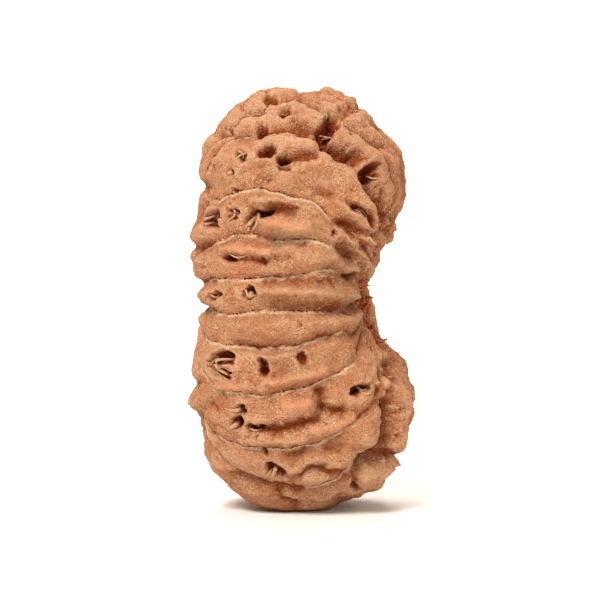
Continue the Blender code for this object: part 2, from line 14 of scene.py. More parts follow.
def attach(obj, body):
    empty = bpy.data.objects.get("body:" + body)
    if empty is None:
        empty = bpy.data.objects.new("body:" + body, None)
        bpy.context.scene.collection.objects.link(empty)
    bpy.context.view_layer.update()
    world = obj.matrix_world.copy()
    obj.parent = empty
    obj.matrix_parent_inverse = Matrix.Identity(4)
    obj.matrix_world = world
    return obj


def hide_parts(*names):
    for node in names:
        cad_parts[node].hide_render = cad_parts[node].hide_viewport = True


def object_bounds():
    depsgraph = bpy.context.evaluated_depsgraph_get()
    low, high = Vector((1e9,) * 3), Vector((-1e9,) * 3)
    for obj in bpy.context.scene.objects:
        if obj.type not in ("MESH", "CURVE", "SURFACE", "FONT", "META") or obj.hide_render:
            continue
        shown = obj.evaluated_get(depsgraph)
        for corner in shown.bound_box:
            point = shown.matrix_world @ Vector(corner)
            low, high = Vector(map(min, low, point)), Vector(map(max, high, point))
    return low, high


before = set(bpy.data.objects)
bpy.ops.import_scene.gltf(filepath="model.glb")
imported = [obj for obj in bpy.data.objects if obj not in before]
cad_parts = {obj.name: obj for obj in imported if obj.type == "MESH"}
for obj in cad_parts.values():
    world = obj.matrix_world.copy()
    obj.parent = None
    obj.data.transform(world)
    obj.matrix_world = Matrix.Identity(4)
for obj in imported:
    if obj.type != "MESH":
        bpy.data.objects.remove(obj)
CAD_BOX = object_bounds()

bl_info = {
    "name": "Rudraksha bead",
    "version": (1, 0, 0),
    "blender": (4, 5, 0),
    "location": "3D View > Sidebar > Bead",
    "description": "Models an eighteen-ribbed rudraksha bead standing on its end, and a stage for it",
    "category": "Add Mesh",
}

MM = 0.001

# The smooth body, as the solid has it
HEIGHT = (CAD_BOX[1].z - CAD_BOX[0].z) / MM
MIDDLE = 17.0  # height of the axis from pole to pole
REACH_UP = 16.25  # from the middle to the crown, before the relief is added
REACH_DOWN = 17.35  # past the surface that the bead stands on, so that its foot is flat
END_ROUNDNESS = 2.5  # 2 is an ellipse, and more is squarer
PLAN_ROUNDNESS = 2.5
AXIS_TURN = radians(17)
WAIST_HEIGHT = 5.0  # how far up and down the waist at each pole spreads
WAIST_LEAN = 1.3  # how much further the waist reaches on one side of a pole than the other
HALF_DEPTH = 9.2
HALF_SPAN = 8.6

# Height, and reach to the left, right, front and back there, before the ends round over
OUTLINE = np.array([
    (-1.0, 9.2, 5.4, 9.2, 9.2),
    (1.5, 9.3, 10.3, 9.3, 9.3),
    (4.0, 9.5, 10.4, 9.4, 9.5),
    (7.0, 8.8, 9.7, 9.4, 9.6),
    (10.5, 9.1, 8.9, 9.2, 9.4),
    (13.5, 8.3, 6.6, 8.9, 9.1),
    (17.0, 7.9, 5.2, 8.7, 9.0),
    (20.0, 8.5, 6.0, 8.9, 9.1),
    (23.0, 8.6, 7.7, 9.2, 9.3),
    (26.5, 9.2, 8.8, 9.4, 9.5),
    (29.5, 10.0, 8.6, 9.5, 9.6),
    (32.5, 10.2, 8.7, 9.4, 9.6),
    (35.0, 10.2, 9.2, 9.3, 9.5),
])

# The view from the front in which the seams and the marks below are laid out
VIEW_DISTANCE = 320.0
VIEW_TILT = radians(5)
AIM_RIGHT, AIM_HEIGHT = -0.08, 16.8  # the middle of the picture

# Seams across the front, from the crown to the foot: points right of and above the middle
SEAM_COUNT = 18
FRONT_SEAMS = (
    ((-6.3, 13.4), (-5.7, 13.7), (-4.9, 14.5), (-3.2, 14.9), (-2.2, 15.5), (-0.1, 15.9), (1.8, 15.1)),
    ((-6.9, 12.0), (-4.5, 13.1), (-3.3, 13.1), (-0.7, 13.3), (1.1, 12.8), (2.7, 11.4), (4.1, 10.8),
     (4.8, 9.5), (6.1, 7.8), (6.5, 6.9)),
    ((-7.4, 8.0), (-6.7, 7.9), (-4.7, 8.6), (-3.3, 8.7), (-0.6, 8.1), (0.8, 7.8), (2.3, 6.4),
     (3.2, 5.3), (4.6, 4.0), (5.3, 3.4)),
    ((-7.7, 4.2), (-6.7, 4.5), (-5.3, 5.0), (-2.1, 4.5), (1.5, 4.4), (3.6, 3.4), (4.9, 2.3)),
    ((-7.2, 1.3), (-3.9, 1.4), (-1.5, 1.5), (4.1, 1.4)),
    ((-7.5, -1.2), (-5.6, -1.4), (-3.1, -1.1), (4.0, -0.7)),
    ((-7.8, -3.5), (-7.0, -3.7), (-4.9, -4.0), (-3.2, -4.2), (-0.7, -4.0), (1.5, -3.2), (3.5, -2.5),
     (4.8, -1.7)),
    ((-8.3, -5.9), (-6.9, -7.5), (-4.8, -7.8), (-2.5, -7.9), (-0.1, -7.5), (2.7, -6.2), (4.9, -3.9)),
    ((-7.4, -10.8), (-6.9, -11.2), (-4.9, -12.0), (-2.1, -12.4), (1.4, -12.0), (3.7, -10.4),
     (5.7, -8.8), (6.4, -6.7)),
    ((-5.3, -14.1), (-2.9, -15.0), (-0.1, -15.4), (1.5, -15.3), (2.8, -14.9), (4.9, -13.0), (6.3, -11.6),
     (6.9, -10.2), (7.1, -8.8), (6.9, -7.6)),
)
LEAST_RIB_TURN = 5.0  # degrees between two seams
REST_BEND = 2.5  # degrees that the seams round the back bend to and fro
REST_WAVES = (2.3, 70)  # how fast they bend along a seam, and the shift from seam to seam in degrees

# How the ribs swell between their seams and stand out in knobs towards the poles
RIB_ROUNDNESS = 0.7  # 1 is a half wave, and less is squarer
KNOB_BASE, REST_BASE = 0.6, 0.7  # what is taken off the swell, so that the seams sink
KNOB_SIZE = 1.5  # size of the unevenness of the knobs
KNOB_START, KNOB_FULL, KNOB_END, POLE = 38.0, 62.0, 74.0, 86.0  # degrees from the middle of a rib
REST_CROWN = 0.6  # how much more the ribs round the back swell
KNOBS_IN_FRONT = 0.2  # how much of their height they keep where the front's own marks stand
SEAM_WANDER = ((2.2, 0.7), (0.9, 0.4))  # size of the unevenness of the seams, and their turn in degrees
SEAM_FADE, SEAM_FADE_LEAN, SEAM_FADE_WIDTH = 2.6, 0.17, 1.5  # where the seams' pale lines end on the front

# The dimple at each pole, round a core of torn fibre: depth, half width, half height, and how far
# back of the pole it lies
RIGHT_DIMPLE = (1.4, 1.3, 4.0, 1.6)
LEFT_DIMPLE = (1.9, 2.2, 3.4, 0.0)
CORE_HEIGHT, CORE_SPREAD = 1.3, 0.45
TORN_EDGE = (0.75, 1.35)  # where the torn fibre is whole, and where it ends, in half widths

# Marks on the front, laid out as the seams are: half width, height or depth, and points
RIDGES = (
    (1.10, 0.85, ((-2.8, 16.6), (-0.9, 17.0))),
    (0.90, 0.40, ((-3.9, 16.2), (-5.0, 15.3))),
    (0.65, 0.18, ((-6.1, 12.5), (-4.5, 13.7), (-1.7, 14.0), (-0.1, 14.5))),
    (1.00, 1.00, ((2.1, 16.8), (3.5, 16.5), (4.5, 15.7))),
    (0.65, 0.25, ((4.9, 14.3), (5.6, 13.3))),
    (0.50, 0.65, ((3.0, 13.6), (3.6, 13.0), (4.3, 12.2), (5.1, 11.6), (5.6, 11.3))),
    (1.05, 0.45, ((7.2, 11.1), (7.4, 8.6))),
    (1.10, 0.60, ((6.2, 12.7), (7.2, 11.6))),
    (0.60, 0.80, ((7.3, 5.6), (7.1, 4.8))),
    (0.57, 0.55, ((-2.3, 12.4), (-0.9, 12.6), (0.9, 12.2))),
    (0.73, 0.45, ((-2.3, 8.6), (-0.9, 9.5), (0.3, 10.4), (1.9, 11.1))),
    (0.97, 0.30, ((3.7, 10.1),)),
    (0.45, 0.40, ((4.7, 8.9), (5.5, 7.8), (6.0, 6.9), (6.0, 6.1))),
    (0.34, 0.50, ((2.9, 7.9), (3.9, 7.0), (4.9, 6.1), (5.6, 5.6))),
    (0.24, 0.60, ((5.0, 4.9), (5.7, 4.4))),
    (0.32, 0.75, ((2.9, 5.6), (3.7, 4.9), (4.5, 4.1), (4.9, 3.4), (5.2, 2.6), (5.2, 1.9))),
    (0.90, 0.50, ((-8.4, 4.9),)),
    (0.80, 0.30, ((-8.5, 2.9),)),
    (0.60, 0.25, ((-8.2, 0.4),)),
    (0.40, 0.40, ((-3.7, 7.8), (-2.1, 7.8), (-0.5, 7.5))),
    (0.65, 0.65, ((-3.0, 6.1), (-1.3, 5.7), (0.2, 5.6))),
    (0.73, 0.20, ((0.9, 7.2), (2.0, 5.9), (2.8, 4.4))),
    (0.48, 0.60, ((-6.1, 4.0), (-4.1, 3.8), (-2.7, 3.7))),
    (0.73, 0.15, ((-0.1, 3.3), (2.3, 2.8))),
    (0.32, 0.20, ((-5.2, 0.5), (-4.8, 0.1))),
    (0.48, 0.45, ((-3.5, 0.6), (-0.1, 0.5), (4.0, 0.2))),
    (0.55, 0.40, ((4.0, 0.7), (4.6, 0.4))),
    (0.65, 0.42, ((-5.7, -2.0), (-3.3, -2.4), (-0.9, -2.1), (4.0, -1.9))),
    (0.48, 0.25, ((-4.9, -4.5), (-3.2, -4.8), (-0.9, -4.5))),
    (0.60, 0.75, ((-8.4, -8.3),)),
    (0.48, 0.50, ((-2.8, -6.9), (-0.5, -6.5), (1.9, -6.0))),
    (0.40, 0.40, ((-6.9, -7.3), (-4.5, -7.3), (-3.2, -7.4))),
    (1.13, 0.35, ((5.2, -5.5),)),
    (0.65, 0.50, ((-1.2, -8.6), (-0.2, -8.6), (0.8, -8.4))),
    (0.73, 0.30, ((2.7, -7.8), (3.4, -7.4))),
    (0.48, 0.30, ((4.0, -8.3), (5.6, -8.2))),
    (0.65, 0.50, ((1.4, -10.7), (2.5, -10.6), (3.9, -9.9))),
    (0.40, 0.45, ((-4.9, -11.6), (-3.2, -11.6), (-1.3, -11.6), (0.3, -11.4))),
    (0.97, 0.55, ((5.2, -10.3), (5.2, -11.2))),
    (0.38, 0.75, ((6.6, -6.9), (7.2, -7.3), (7.7, -7.9), (7.9, -8.8), (7.8, -10.5), (7.6, -12.0))),
    (0.57, 0.35, ((8.4, -7.5), (8.6, -9.9), (8.3, -11.7))),
    (0.48, 0.35, ((3.6, -12.4), (4.1, -13.4))),
    (0.42, 0.28, ((-1.5, -13.7), (-0.8, -14.0), (-0.1, -13.7), (0.6, -13.2), (1.7, -13.1), (3.0, -13.5))),
    (0.40, 0.30, ((-0.1, -14.6), (1.9, -14.4), (3.4, -14.5))),
    (0.75, 0.22, ((4.8, -15.8), (5.6, -15.0), (6.8, -13.9))),
    (0.32, 0.45, ((7.9, -13.4),)),
    (0.55, 0.25, ((7.6, -4.6), (8.1, -5.1))),
    (0.40, 0.30, ((4.7, -14.4), (6.0, -14.0), (7.0, -13.7))),
)
HOLLOWS = (
    (0.28, 0.22, ((-0.1, 15.9), (-0.2, 17.0))),
    (0.28, 0.22, ((1.4, 15.7), (1.4, 17.0))),
    (0.75, 0.12, ((0.7, 16.8),)),
    (0.40, 0.45, ((-6.7, 13.2), (-5.6, 13.7), (-4.7, 14.5))),
    (0.32, 0.50, ((-4.4, 14.8), (-3.2, 14.8))),
    (0.48, 0.55, ((-0.2, 13.7), (1.1, 13.5))),
    (0.34, 0.50, ((3.0, 15.0), (3.9, 14.9), (4.6, 15.1))),
    (0.40, 0.40, ((3.6, 14.5), (4.1, 13.7), (4.9, 12.8), (5.7, 12.1))),
    (0.32, 0.45, ((5.3, 12.6), (6.0, 11.9))),
    (0.50, 1.30, ((5.4, 9.3), (6.1, 8.4), (6.6, 7.5), (6.9, 6.6), (6.8, 5.6))),
    (0.30, 0.55, ((6.6, 5.6), (6.3, 4.7), (5.9, 4.0))),
    (0.48, 0.25, ((-7.0, 10.5),)),
    (0.40, 0.70, ((-1.4, 11.1), (-0.1, 11.3), (1.1, 11.5))),
    (0.73, 0.40, ((-3.2, 9.9), (-2.7, 9.6))),
    (0.40, 0.40, ((1.4, 8.5), (2.7, 8.1), (4.0, 7.4))),
    (0.62, 0.90, ((3.5, 5.9), (4.6, 5.3))),
    (0.42, 0.75, ((-2.7, 7.0), (-1.7, 7.1), (-0.7, 7.1))),
    (0.40, 0.50, ((-3.8, 7.1), (-4.1, 5.9))),
    (0.48, 0.25, ((-2.5, 4.9), (0.4, 4.8))),
    (0.30, 0.40, ((-5.5, 3.1), (-4.1, 3.1), (-3.0, 3.0))),
    (0.32, 0.25, ((-3.0, 3.0), (-0.9, 3.2))),
    (0.32, 0.40, ((-2.1, 4.4), (0.1, 4.3))),
    (0.60, 0.40, ((2.2, 2.2), (3.2, 1.6))),
    (0.40, 0.30, ((-8.0, 2.5),)),
    (0.55, 0.68, ((-8.5, 8.9), (-7.9, 8.9))),
    (0.40, 0.45, ((-8.7, 4.1), (-7.6, 4.2))),
    (0.40, 0.38, ((-8.5, 1.2), (-7.5, 1.2))),
    (0.45, 0.45, ((-8.7, -6.9),)),
    (0.40, 0.50, ((-8.3, -0.8), (-7.5, -1.2))),
    (0.50, 0.75, ((3.4, 4.0), (4.2, 3.3))),
    (0.32, 0.45, ((-2.9, 1.3), (1.0, 1.2), (2.6, 1.2))),
    (0.65, 0.50, ((-2.1, -0.6), (-0.1, -0.7), (2.9, -0.8))),
    (0.32, 0.35, ((-0.1, -2.2),)),
    (0.40, 0.35, ((-5.3, -3.8), (-3.2, -4.2), (-0.1, -3.9), (2.3, -3.1))),
    (0.48, 0.25, ((-2.1, -6.1), (-1.2, -6.0))),
    (0.48, 0.70, ((1.5, -7.7), (1.6, -8.9))),
    (0.40, 0.55, ((1.9, -9.0), (3.1, -9.1))),
    (0.65, 0.30, ((-7.1, -8.7), (-6.4, -8.7))),
    (0.40, 0.70, ((-3.2, -10.7), (-1.7, -10.7), (-0.1, -10.3), (1.4, -9.9))),
    (0.42, 0.90, ((7.1, -5.2), (7.3, -5.9), (7.3, -6.4))),
    (0.45, 1.00, ((6.9, -8.6), (7.0, -9.6), (7.0, -10.7), (6.7, -12.0), (5.8, -12.9), (4.9, -13.3))),
    (0.30, 0.60, ((8.2, -7.8), (8.4, -8.6), (8.4, -10.3), (8.2, -11.9))),
    (0.36, 0.90, ((6.0, -12.9), (6.9, -12.7), (8.2, -12.8))),
    (0.60, 0.60, ((7.6, -14.1), (7.2, -14.7))),
    (0.32, 0.60, ((4.9, -13.0), (4.5, -14.0), (4.4, -15.1))),
    (0.57, 0.38, ((-1.0, -12.8), (-0.2, -12.6))),
    (0.48, 0.40, ((2.3, -12.3), (3.2, -12.1))),
    (0.36, 0.38, ((-1.5, -14.3), (-0.8, -14.6), (-0.1, -14.3), (0.6, -13.8), (1.7, -13.8), (3.0, -14.2),
                  (3.7, -14.6))),
    (0.32, 0.45, ((-5.3, -14.3), (-4.0, -15.0), (-2.1, -15.4), (-0.1, -15.6))),
    (0.32, 0.50, ((-2.0, -15.8), (-1.3, -16.4), (-0.4, -16.8))),
    (0.90, 0.60, ((3.4, -16.9), (5.2, -16.4))),
    (0.60, 0.85, ((6.3, 13.6),)),
    (0.50, 1.25, ((1.9, 12.5), (2.8, 12.0), (3.8, 11.5), (4.5, 11.2))),
)
PITS = (
    (0.28, 0.85, ((-5.9, 13.7), (-5.3, 14.0), (-4.7, 14.6))),
    (0.28, 0.85, ((-4.4, 14.7), (-3.3, 14.8))),
    (0.32, 0.85, ((-2.7, 15.6), (-2.1, 15.6))),
    (0.40, 0.80, ((-1.5, 14.6), (-1.1, 14.9))),
    (0.40, 0.90, ((-3.4, 13.4), (-3.1, 13.6))),
    (0.78, 1.50, ((2.5, 14.4), (2.6, 14.0), (2.2, 13.6), (1.8, 13.3))),
    (0.30, 0.70, ((3.6, 13.5), (3.9, 13.0))),
    (0.30, 0.60, ((1.6, 12.6), (2.6, 12.3), (3.2, 11.9), (4.2, 11.4))),
    (0.46, 1.50, ((5.7, 10.5), (5.1, 9.9), (5.8, 9.7))),
    (0.44, 0.90, ((-4.9, 11.5), (-4.7, 11.3))),
    (0.38, 0.75, ((-5.7, 10.1),)),
    (0.50, 1.30, ((-3.2, 11.6), (-2.4, 11.8))),
    (0.48, 1.00, ((-1.6, 11.1), (-1.2, 11.1))),
    (0.32, 0.50, ((-1.6, 10.4), (-1.1, 10.3))),
    (0.24, 0.45, ((-5.5, 8.6),)),
    (0.45, 1.00, ((4.5, 7.2), (5.1, 6.8), (5.6, 6.1))),
    (0.28, 0.80, ((6.0, 5.3), (5.8, 4.9))),
    (0.28, 0.80, ((5.4, 3.8), (5.5, 3.0))),
    (0.60, 0.60, ((-7.4, 6.1), (-7.0, 6.6))),
    (0.40, 0.40, ((-5.7, 6.5), (-5.4, 6.9))),
    (0.38, 1.40, ((-3.6, 6.8), (-3.2, 6.6), (-2.7, 6.8))),
    (0.26, 0.45, ((2.6, 5.2),)),
    (0.29, 1.00, ((-6.1, 3.2), (-5.5, 3.2))),
    (0.32, 0.90, ((4.1, 1.4), (4.5, 1.8))),
    (0.36, 0.80, ((-7.2, 0.0), (-6.8, 0.2))),
    (0.62, 1.00, ((-4.1, 0.35),)),
    (0.42, 1.30, ((-5.7, -4.75), (-6.4, -4.65), (-6.95, -4.85), (-7.3, -5.4), (-7.1, -5.9))),
    (0.55, 1.10, ((-7.2, -5.1), (-7.15, -5.6))),
    (0.24, 0.70, ((-6.5, -5.25), (-5.5, -5.25))),
    (0.22, 0.60, ((-6.8, -6.1), (-5.9, -6.4))),
    (0.42, 1.10, ((-3.1, -5.2), (-3.0, -6.1))),
    (0.44, 0.75, ((0.0, -4.7), (0.2, -5.1))),
    (0.52, 1.20, ((-4.85, -9.05),)),
    (0.62, 1.20, ((-5.15, -10.1),)),
    (0.42, 1.00, ((-4.1, -10.5), (-3.4, -10.6))),
    (0.40, 1.20, ((4.3, -7.6), (5.3, -7.2))),
    (0.21, 0.60, ((-3.2, -12.4), (-2.8, -12.6))),
    (0.53, 1.10, ((-2.4, -13.75), (-1.6, -14.1))),
    (0.30, 0.90, ((4.2, -15.2), (4.4, -15.4))),
    (0.26, 0.70, ((4.9, -12.7), (5.3, -13.1))),
)

# Narrow cracks with fibre between them, laid out as the pits are
CRACKS = (
    (0.17, 0.60, ((-7.76, 6.46), (-6.8, 6.9))),
    (0.22, 0.75, ((-7.8, 6.1), (-6.9, 6.26))),
    (0.17, 0.60, ((-7.56, 5.66), (-6.9, 5.9))),
    (0.15, 0.55, ((-5.6, 7.0), (-5.37, 7.16), (-5.15, 6.95), (-5.15, 6.6), (-5.4, 6.35))),
    (0.15, 0.60, ((-3.75, 6.4), (-3.85, 5.8))),
    (0.30, 0.50, ((-4.0, 6.6), (-4.3, 6.1))),
    (0.16, 0.60, ((-6.4, -5.75), (-5.7, -6.1))),
    (0.30, 0.80, ((2.4, 13.7), (2.5, 13.2))),
    (0.14, 0.50, ((-6.6, 12.6), (-5.7, 13.3))),
)

# The same marks with rubbed, orange tops, with grey-green dust in them, or with thin bloom and
# painted shade in grooves, gaps and valleys: half width, strength, points
RUBBED = (
    (0.70, 1.00, ((-2.6, 6.1), (-1.0, 5.8), (0.3, 5.6))),
    (0.50, 0.80, ((-5.6, 4.0), (-4.0, 3.8), (-2.7, 3.7))),
    (0.60, 0.45, ((-1.9, 12.4), (-0.7, 12.6), (1.0, 12.2))),
    (0.90, 0.50, ((-2.3, 8.7), (-0.6, 9.8), (1.6, 11.0))),
    (0.70, 0.45, ((3.6, 10.2), (4.2, 9.4))),
    (0.70, 0.35, ((-1.5, -2.2), (1.5, -2.3), (3.8, -2.0))),
    (0.50, 0.75, ((-2.9, -6.9), (-0.5, -6.5), (1.9, -6.0))),
    (0.45, 0.70, ((-6.9, -7.3), (-4.6, -7.3))),
    (0.60, 0.85, ((-1.3, -8.6), (-0.2, -8.6), (0.8, -8.4))),
    (0.60, 0.75, ((1.4, -10.7), (2.5, -10.6), (3.8, -9.9))),
    (0.60, 0.60, ((3.5, -12.4), (3.7, -12.8))),
    (0.45, 0.45, ((-4.0, -11.6), (-1.3, -11.6))),
    (0.80, 0.30, ((5.0, -5.6),)),
    (0.50, 0.45, ((4.9, -8.9), (5.8, -8.4))),
    (0.80, 0.40, ((2.9, 7.4), (4.1, 6.5), (5.1, 5.5))),
    (1.00, 0.35, ((0.9, 3.0), (2.6, 2.7))),
)
DUSTY = (
    (0.65, 0.90, ((-2.0, 4.8), (0.6, 4.8))),
    (0.60, 0.50, ((1.7, 9.5), (2.5, 9.4))),
    (0.80, 0.40, ((-3.5, -1.0), (0.5, -0.9))),
    (0.70, 0.40, ((-0.5, -5.8), (1.3, -5.3))),
    (0.90, 0.35, ((0.0, 7.0), (1.8, 5.6))),
    (0.42, 0.95, ((1.8, 14.95), (2.2, 14.8))),
    (0.35, 0.80, ((4.8, -13.0), (4.8, -14.0))),
    (1.60, 0.30, ((1.5, 3.6), (3.6, 1.6))),
    (1.40, 0.25, ((-3.4, 9.6), (0.4, 9.0))),
    (1.20, 0.30, ((-6.0, -2.2), (-5.6, -3.2))),
)
BARE_AND_SHADED = (
    (1.50, 0.75, ((7.7, 12.4), (8.0, 9.0), (7.7, 5.2))),
    (1.00, 0.85, ((6.1, 10.2), (6.6, 8.0), (6.6, 6.2))),
    (0.80, 0.80, ((2.4, 13.9), (3.8, 11.6), (5.4, 10.6))),
    (0.60, 0.60, ((-1.6, 14.4), (0.2, 13.9))),
    (0.70, 0.55, ((-2.6, 10.9), (-1.2, 10.6))),
    (0.60, 0.60, ((-0.9, 11.3), (0.6, 11.5))),
    (0.70, 0.60, ((3.2, 5.8), (4.6, 4.6))),
    (0.60, 0.60, ((-2.8, 7.1), (-0.8, 7.2))),
    (0.60, 0.50, ((2.4, 2.4), (3.4, 1.6))),
    (1.20, 0.55, ((8.2, -5.2), (8.8, -8.0), (8.6, -11.6))),
    (0.60, 0.60, ((6.9, -8.6), (6.9, -11.0), (5.4, -12.8))),
    (0.60, 0.55, ((1.5, -7.6), (1.9, -9.0), (3.0, -9.2))),
    (0.60, 0.50, ((-3.4, -10.7), (0.0, -10.3))),
    (0.50, 0.50, ((3.6, -13.8), (3.4, -14.9))),
)

# Marks all over the rest, drawn at random: half length, half width, height, and share of all
MARK_SEED = 18
MARK_COUNT = 620
MARK_KINDS = {
    "pit": (0.25, 0.42, -1.0, 0.18),
    "ridge": (1.5, 0.75, 0.50, 0.45),
    "hollow": (0.8, 0.55, -0.55, 0.37),
}
MARK_LENGTHS, MARK_WIDTHS, MARK_HEIGHTS = (0.5, 1.3), (0.7, 1.3), (0.6, 1.3)  # least and most, in those sizes
MARK_SPREAD = 0.35  # how far a mark turns off the line of its rib

# Where the marks on the front and those drawn at random fade into each other: the share of the
# surface's turn to the viewer
FRONT_FADE = (-0.4, -0.1)
REST_FADE = (-0.6, -0.15)

# Uneven surface, from coarse to fine: size of the lumps, and their height
GRAIN = ((2.2, 0.20), (1.0, 0.11), (0.5, 0.06), (0.26, 0.06))
RAGGED = ((0.6, 0.18), (0.28, 0.12), (0.15, 0.06))  # size and reach of the unevenness of each mark's outline
DRAWN_WOBBLE = (0.5, 0.15)  # the same for the marks drawn at random
WRINKLE_SIZE, WRINKLE_HEIGHT, WRINKLED_SIZE = 0.7, 0.10, 3.0
PIT_LUMPS, TORN_LUMPS = (0.22, 0.25), (0.5, 0.7)  # size and height of the lumps in pits and in torn fibre
TORN_AS_PIT = 0.6  # how much of the pits' lumps the torn fibre has

# Rounded lumps with creases between them, and where they begin and are full, right of and above
# the middle
LUMP_SIZE, LUMP_HEIGHT, LUMP_CREASE = 2.1, 0.35, 0.2
LUMPS_ASIDE, LUMPS_ABOVE = (0.0, 4.0), (7.0, 10.0)

# Where in the noise each kind of unevenness is read, so that no two are alike
NOISE = {
    "grain": 3.0, "seams": 11.0, "plugs": 15.0, "knobs": 21.0, "ragged_right": 31.0, "ragged_above": 41.0,
    "drawn": 51.0, "lumps": 61.0, "wrinkles": 71.0, "wrinkled": 81.0, "pits": 91.0, "torn": 95.0,
}
NEAR_ROUNDS, FAR_ROUNDS = 6, 60  # rounds of smoothing that hollows near and further off are told by

FOOT_FADE = 1.2  # height over which the relief fades to the flat foot
FOOT_RELIEF = 0.3

# Strands of fibre across and out of the pits on the front: points of the view, how far the middle
# and the tip stand out from the pit, and half thickness
STRANDS = (
    (((-7.85, 6.25), (-7.4, 6.42), (-6.9, 6.6)), 0.10, 0.05, 0.12),
    (((-7.75, 5.85), (-7.35, 5.95), (-6.9, 6.08)), 0.10, 0.05, 0.12),
    (((-5.45, 7.1), (-5.28, 6.85), (-5.45, 6.5), (-5.95, 6.12)), 0.10, 0.05, 0.09),
    (((-3.45, 6.9), (-3.4, 6.5), (-3.35, 6.2), (-3.2, 5.85)), 0.25, 0.05, 0.10),
    (((-3.4, 6.8), (-3.45, 6.3), (-3.65, 5.8), (-3.9, 5.4)), 0.30, 0.10, 0.13),
    (((-3.6, 6.5), (-3.95, 6.1), (-4.15, 5.8), (-4.25, 5.35)), 0.20, 0.10, 0.16),
    (((-3.8, 6.3), (-4.2, 6.0), (-4.5, 5.5)), 0.15, 0.05, 0.10),
    (((-5.1, 11.8), (-4.7, 11.6), (-4.6, 11.1)), 0.15, 0.10, 0.09),
    (((-5.2, 11.2), (-4.8, 11.5), (-4.4, 11.6)), 0.10, 0.05, 0.07),
    (((-6.5, -5.8), (-6.85, -5.5), (-6.8, -5.1), (-6.2, -4.98), (-5.4, -5.0)), 0.15, 0.05, 0.13),
    (((-6.9, -6.0), (-6.5, -6.25), (-5.9, -6.65)), 0.10, 0.05, 0.10),
    (((-6.8, -5.8), (-6.4, -5.95), (-5.9, -6.25)), 0.10, 0.05, 0.09),
    (((-6.7, -5.5), (-6.2, -5.5), (-5.6, -5.5)), 0.05, 0.05, 0.09),
    (((-7.2, -5.3), (-6.9, -5.0), (-6.6, -4.8)), 0.05, 0.05, 0.07),
    (((-5.75, 3.55), (-5.3, 3.25), (-4.7, 3.28), (-4.3, 3.45)), 0.05, 0.05, 0.06),
    (((-4.5, 0.7), (-4.2, 0.1), (-3.6, 0.2)), 0.15, 0.05, 0.08),
    (((-7.3, 0.3), (-6.9, 0.0), (-6.5, 0.2)), 0.10, 0.05, 0.08),
    (((-4.75, -8.95), (-5.2, -9.1), (-5.6, -9.1)), 0.35, 0.00, 0.17),
    (((-5.2, -9.1), (-5.6, -9.1), (-6.1, -8.95)), 0.05, 0.05, 0.08),
    (((-4.95, -10.05), (-5.3, -10.3), (-5.65, -10.5)), 0.40, 0.00, 0.22),
    (((-5.3, -10.4), (-5.6, -10.5), (-5.8, -10.45)), 0.05, 0.05, 0.09),
    (((-4.2, -10.5), (-3.7, -10.7), (-3.1, -10.6)), 0.15, 0.05, 0.09),
    (((-2.0, -13.5), (-2.1, -14.0), (-2.3, -14.45)), 0.45, 0.05, 0.16),
    (((-2.2, -13.7), (-2.6, -14.2), (-2.8, -14.45)), 0.15, 0.00, 0.08),
    (((4.4, -7.1), (4.9, -7.5), (5.3, -7.3)), 0.20, 0.05, 0.10),
    (((4.9, -7.0), (5.1, -6.3), (5.2, -5.6)), 0.10, 0.05, 0.05),
    (((4.7, -7.6), (5.3, -7.8), (5.8, -7.4)), 0.15, 0.10, 0.09),
    (((1.7, 14.7), (1.75, 14.5), (1.7, 14.2)), 0.05, 0.05, 0.07),
    (((2.0, 14.8), (2.1, 14.6), (2.05, 14.35)), 0.05, 0.05, 0.06),
    (((2.3, 14.9), (2.4, 14.7), (2.5, 14.5)), 0.05, 0.05, 0.05),
    (((1.4, 12.95), (1.6, 13.0), (1.8, 12.9)), 0.05, 0.05, 0.07),
    (((1.7, 12.95), (2.0, 12.9), (2.3, 12.8)), 0.05, 0.05, 0.08),
    (((2.1, 12.7), (2.3, 12.85), (2.5, 12.8)), 0.05, 0.05, 0.06),
    (((5.2, 9.8), (5.7, 9.6), (6.2, 9.6)), 0.15, 0.10, 0.08),
    (((-4.5, 14.7), (-4.1, 14.6), (-3.7, 14.7)), 0.05, 0.05, 0.05),
    (((-3.8, 14.9), (-3.4, 14.7), (-3.2, 14.8)), 0.05, 0.05, 0.05),
    (((-2.9, 15.5), (-2.6, 15.4), (-2.3, 15.6)), 0.05, 0.05, 0.05),
    (((-5.7, 13.8), (-5.3, 13.9), (-5.0, 14.2)), 0.05, 0.05, 0.05),
    (((-1.6, 14.8), (-1.3, 14.65), (-1.1, 14.8)), 0.05, 0.05, 0.05),
    (((4.2, 7.1), (4.7, 6.9), (5.1, 6.4)), 0.05, 0.05, 0.05),
    (((4.5, 7.2), (5.0, 6.9), (5.3, 6.4)), 0.05, 0.05, 0.05),
    (((4.4, 6.9), (4.8, 6.6), (5.3, 6.2)), 0.05, 0.05, 0.04),
    (((4.7, 7.4), (5.2, 7.2), (5.4, 6.7)), 0.05, 0.05, 0.04),
    (((5.2, 4.6), (5.5, 4.8), (5.9, 4.4)), 0.25, 0.20, 0.13),
)

STRAND_SCALE = 1.25  # how much thicker they are than the table says
DRAWN_TONE, DRAWN_TONE_SPREAD = 1.2, 0.3

# Round plugs in pits on the front: place in the view, and radius
PLUGS = (
    ((-4.1, 0.15), 0.36),
    ((-5.7, 10.0), 0.24),
)
PLUG_TONE, PLUG_RISE = 0.8, 0.3
PLUG_LUMPS = (0.8, 0.35)

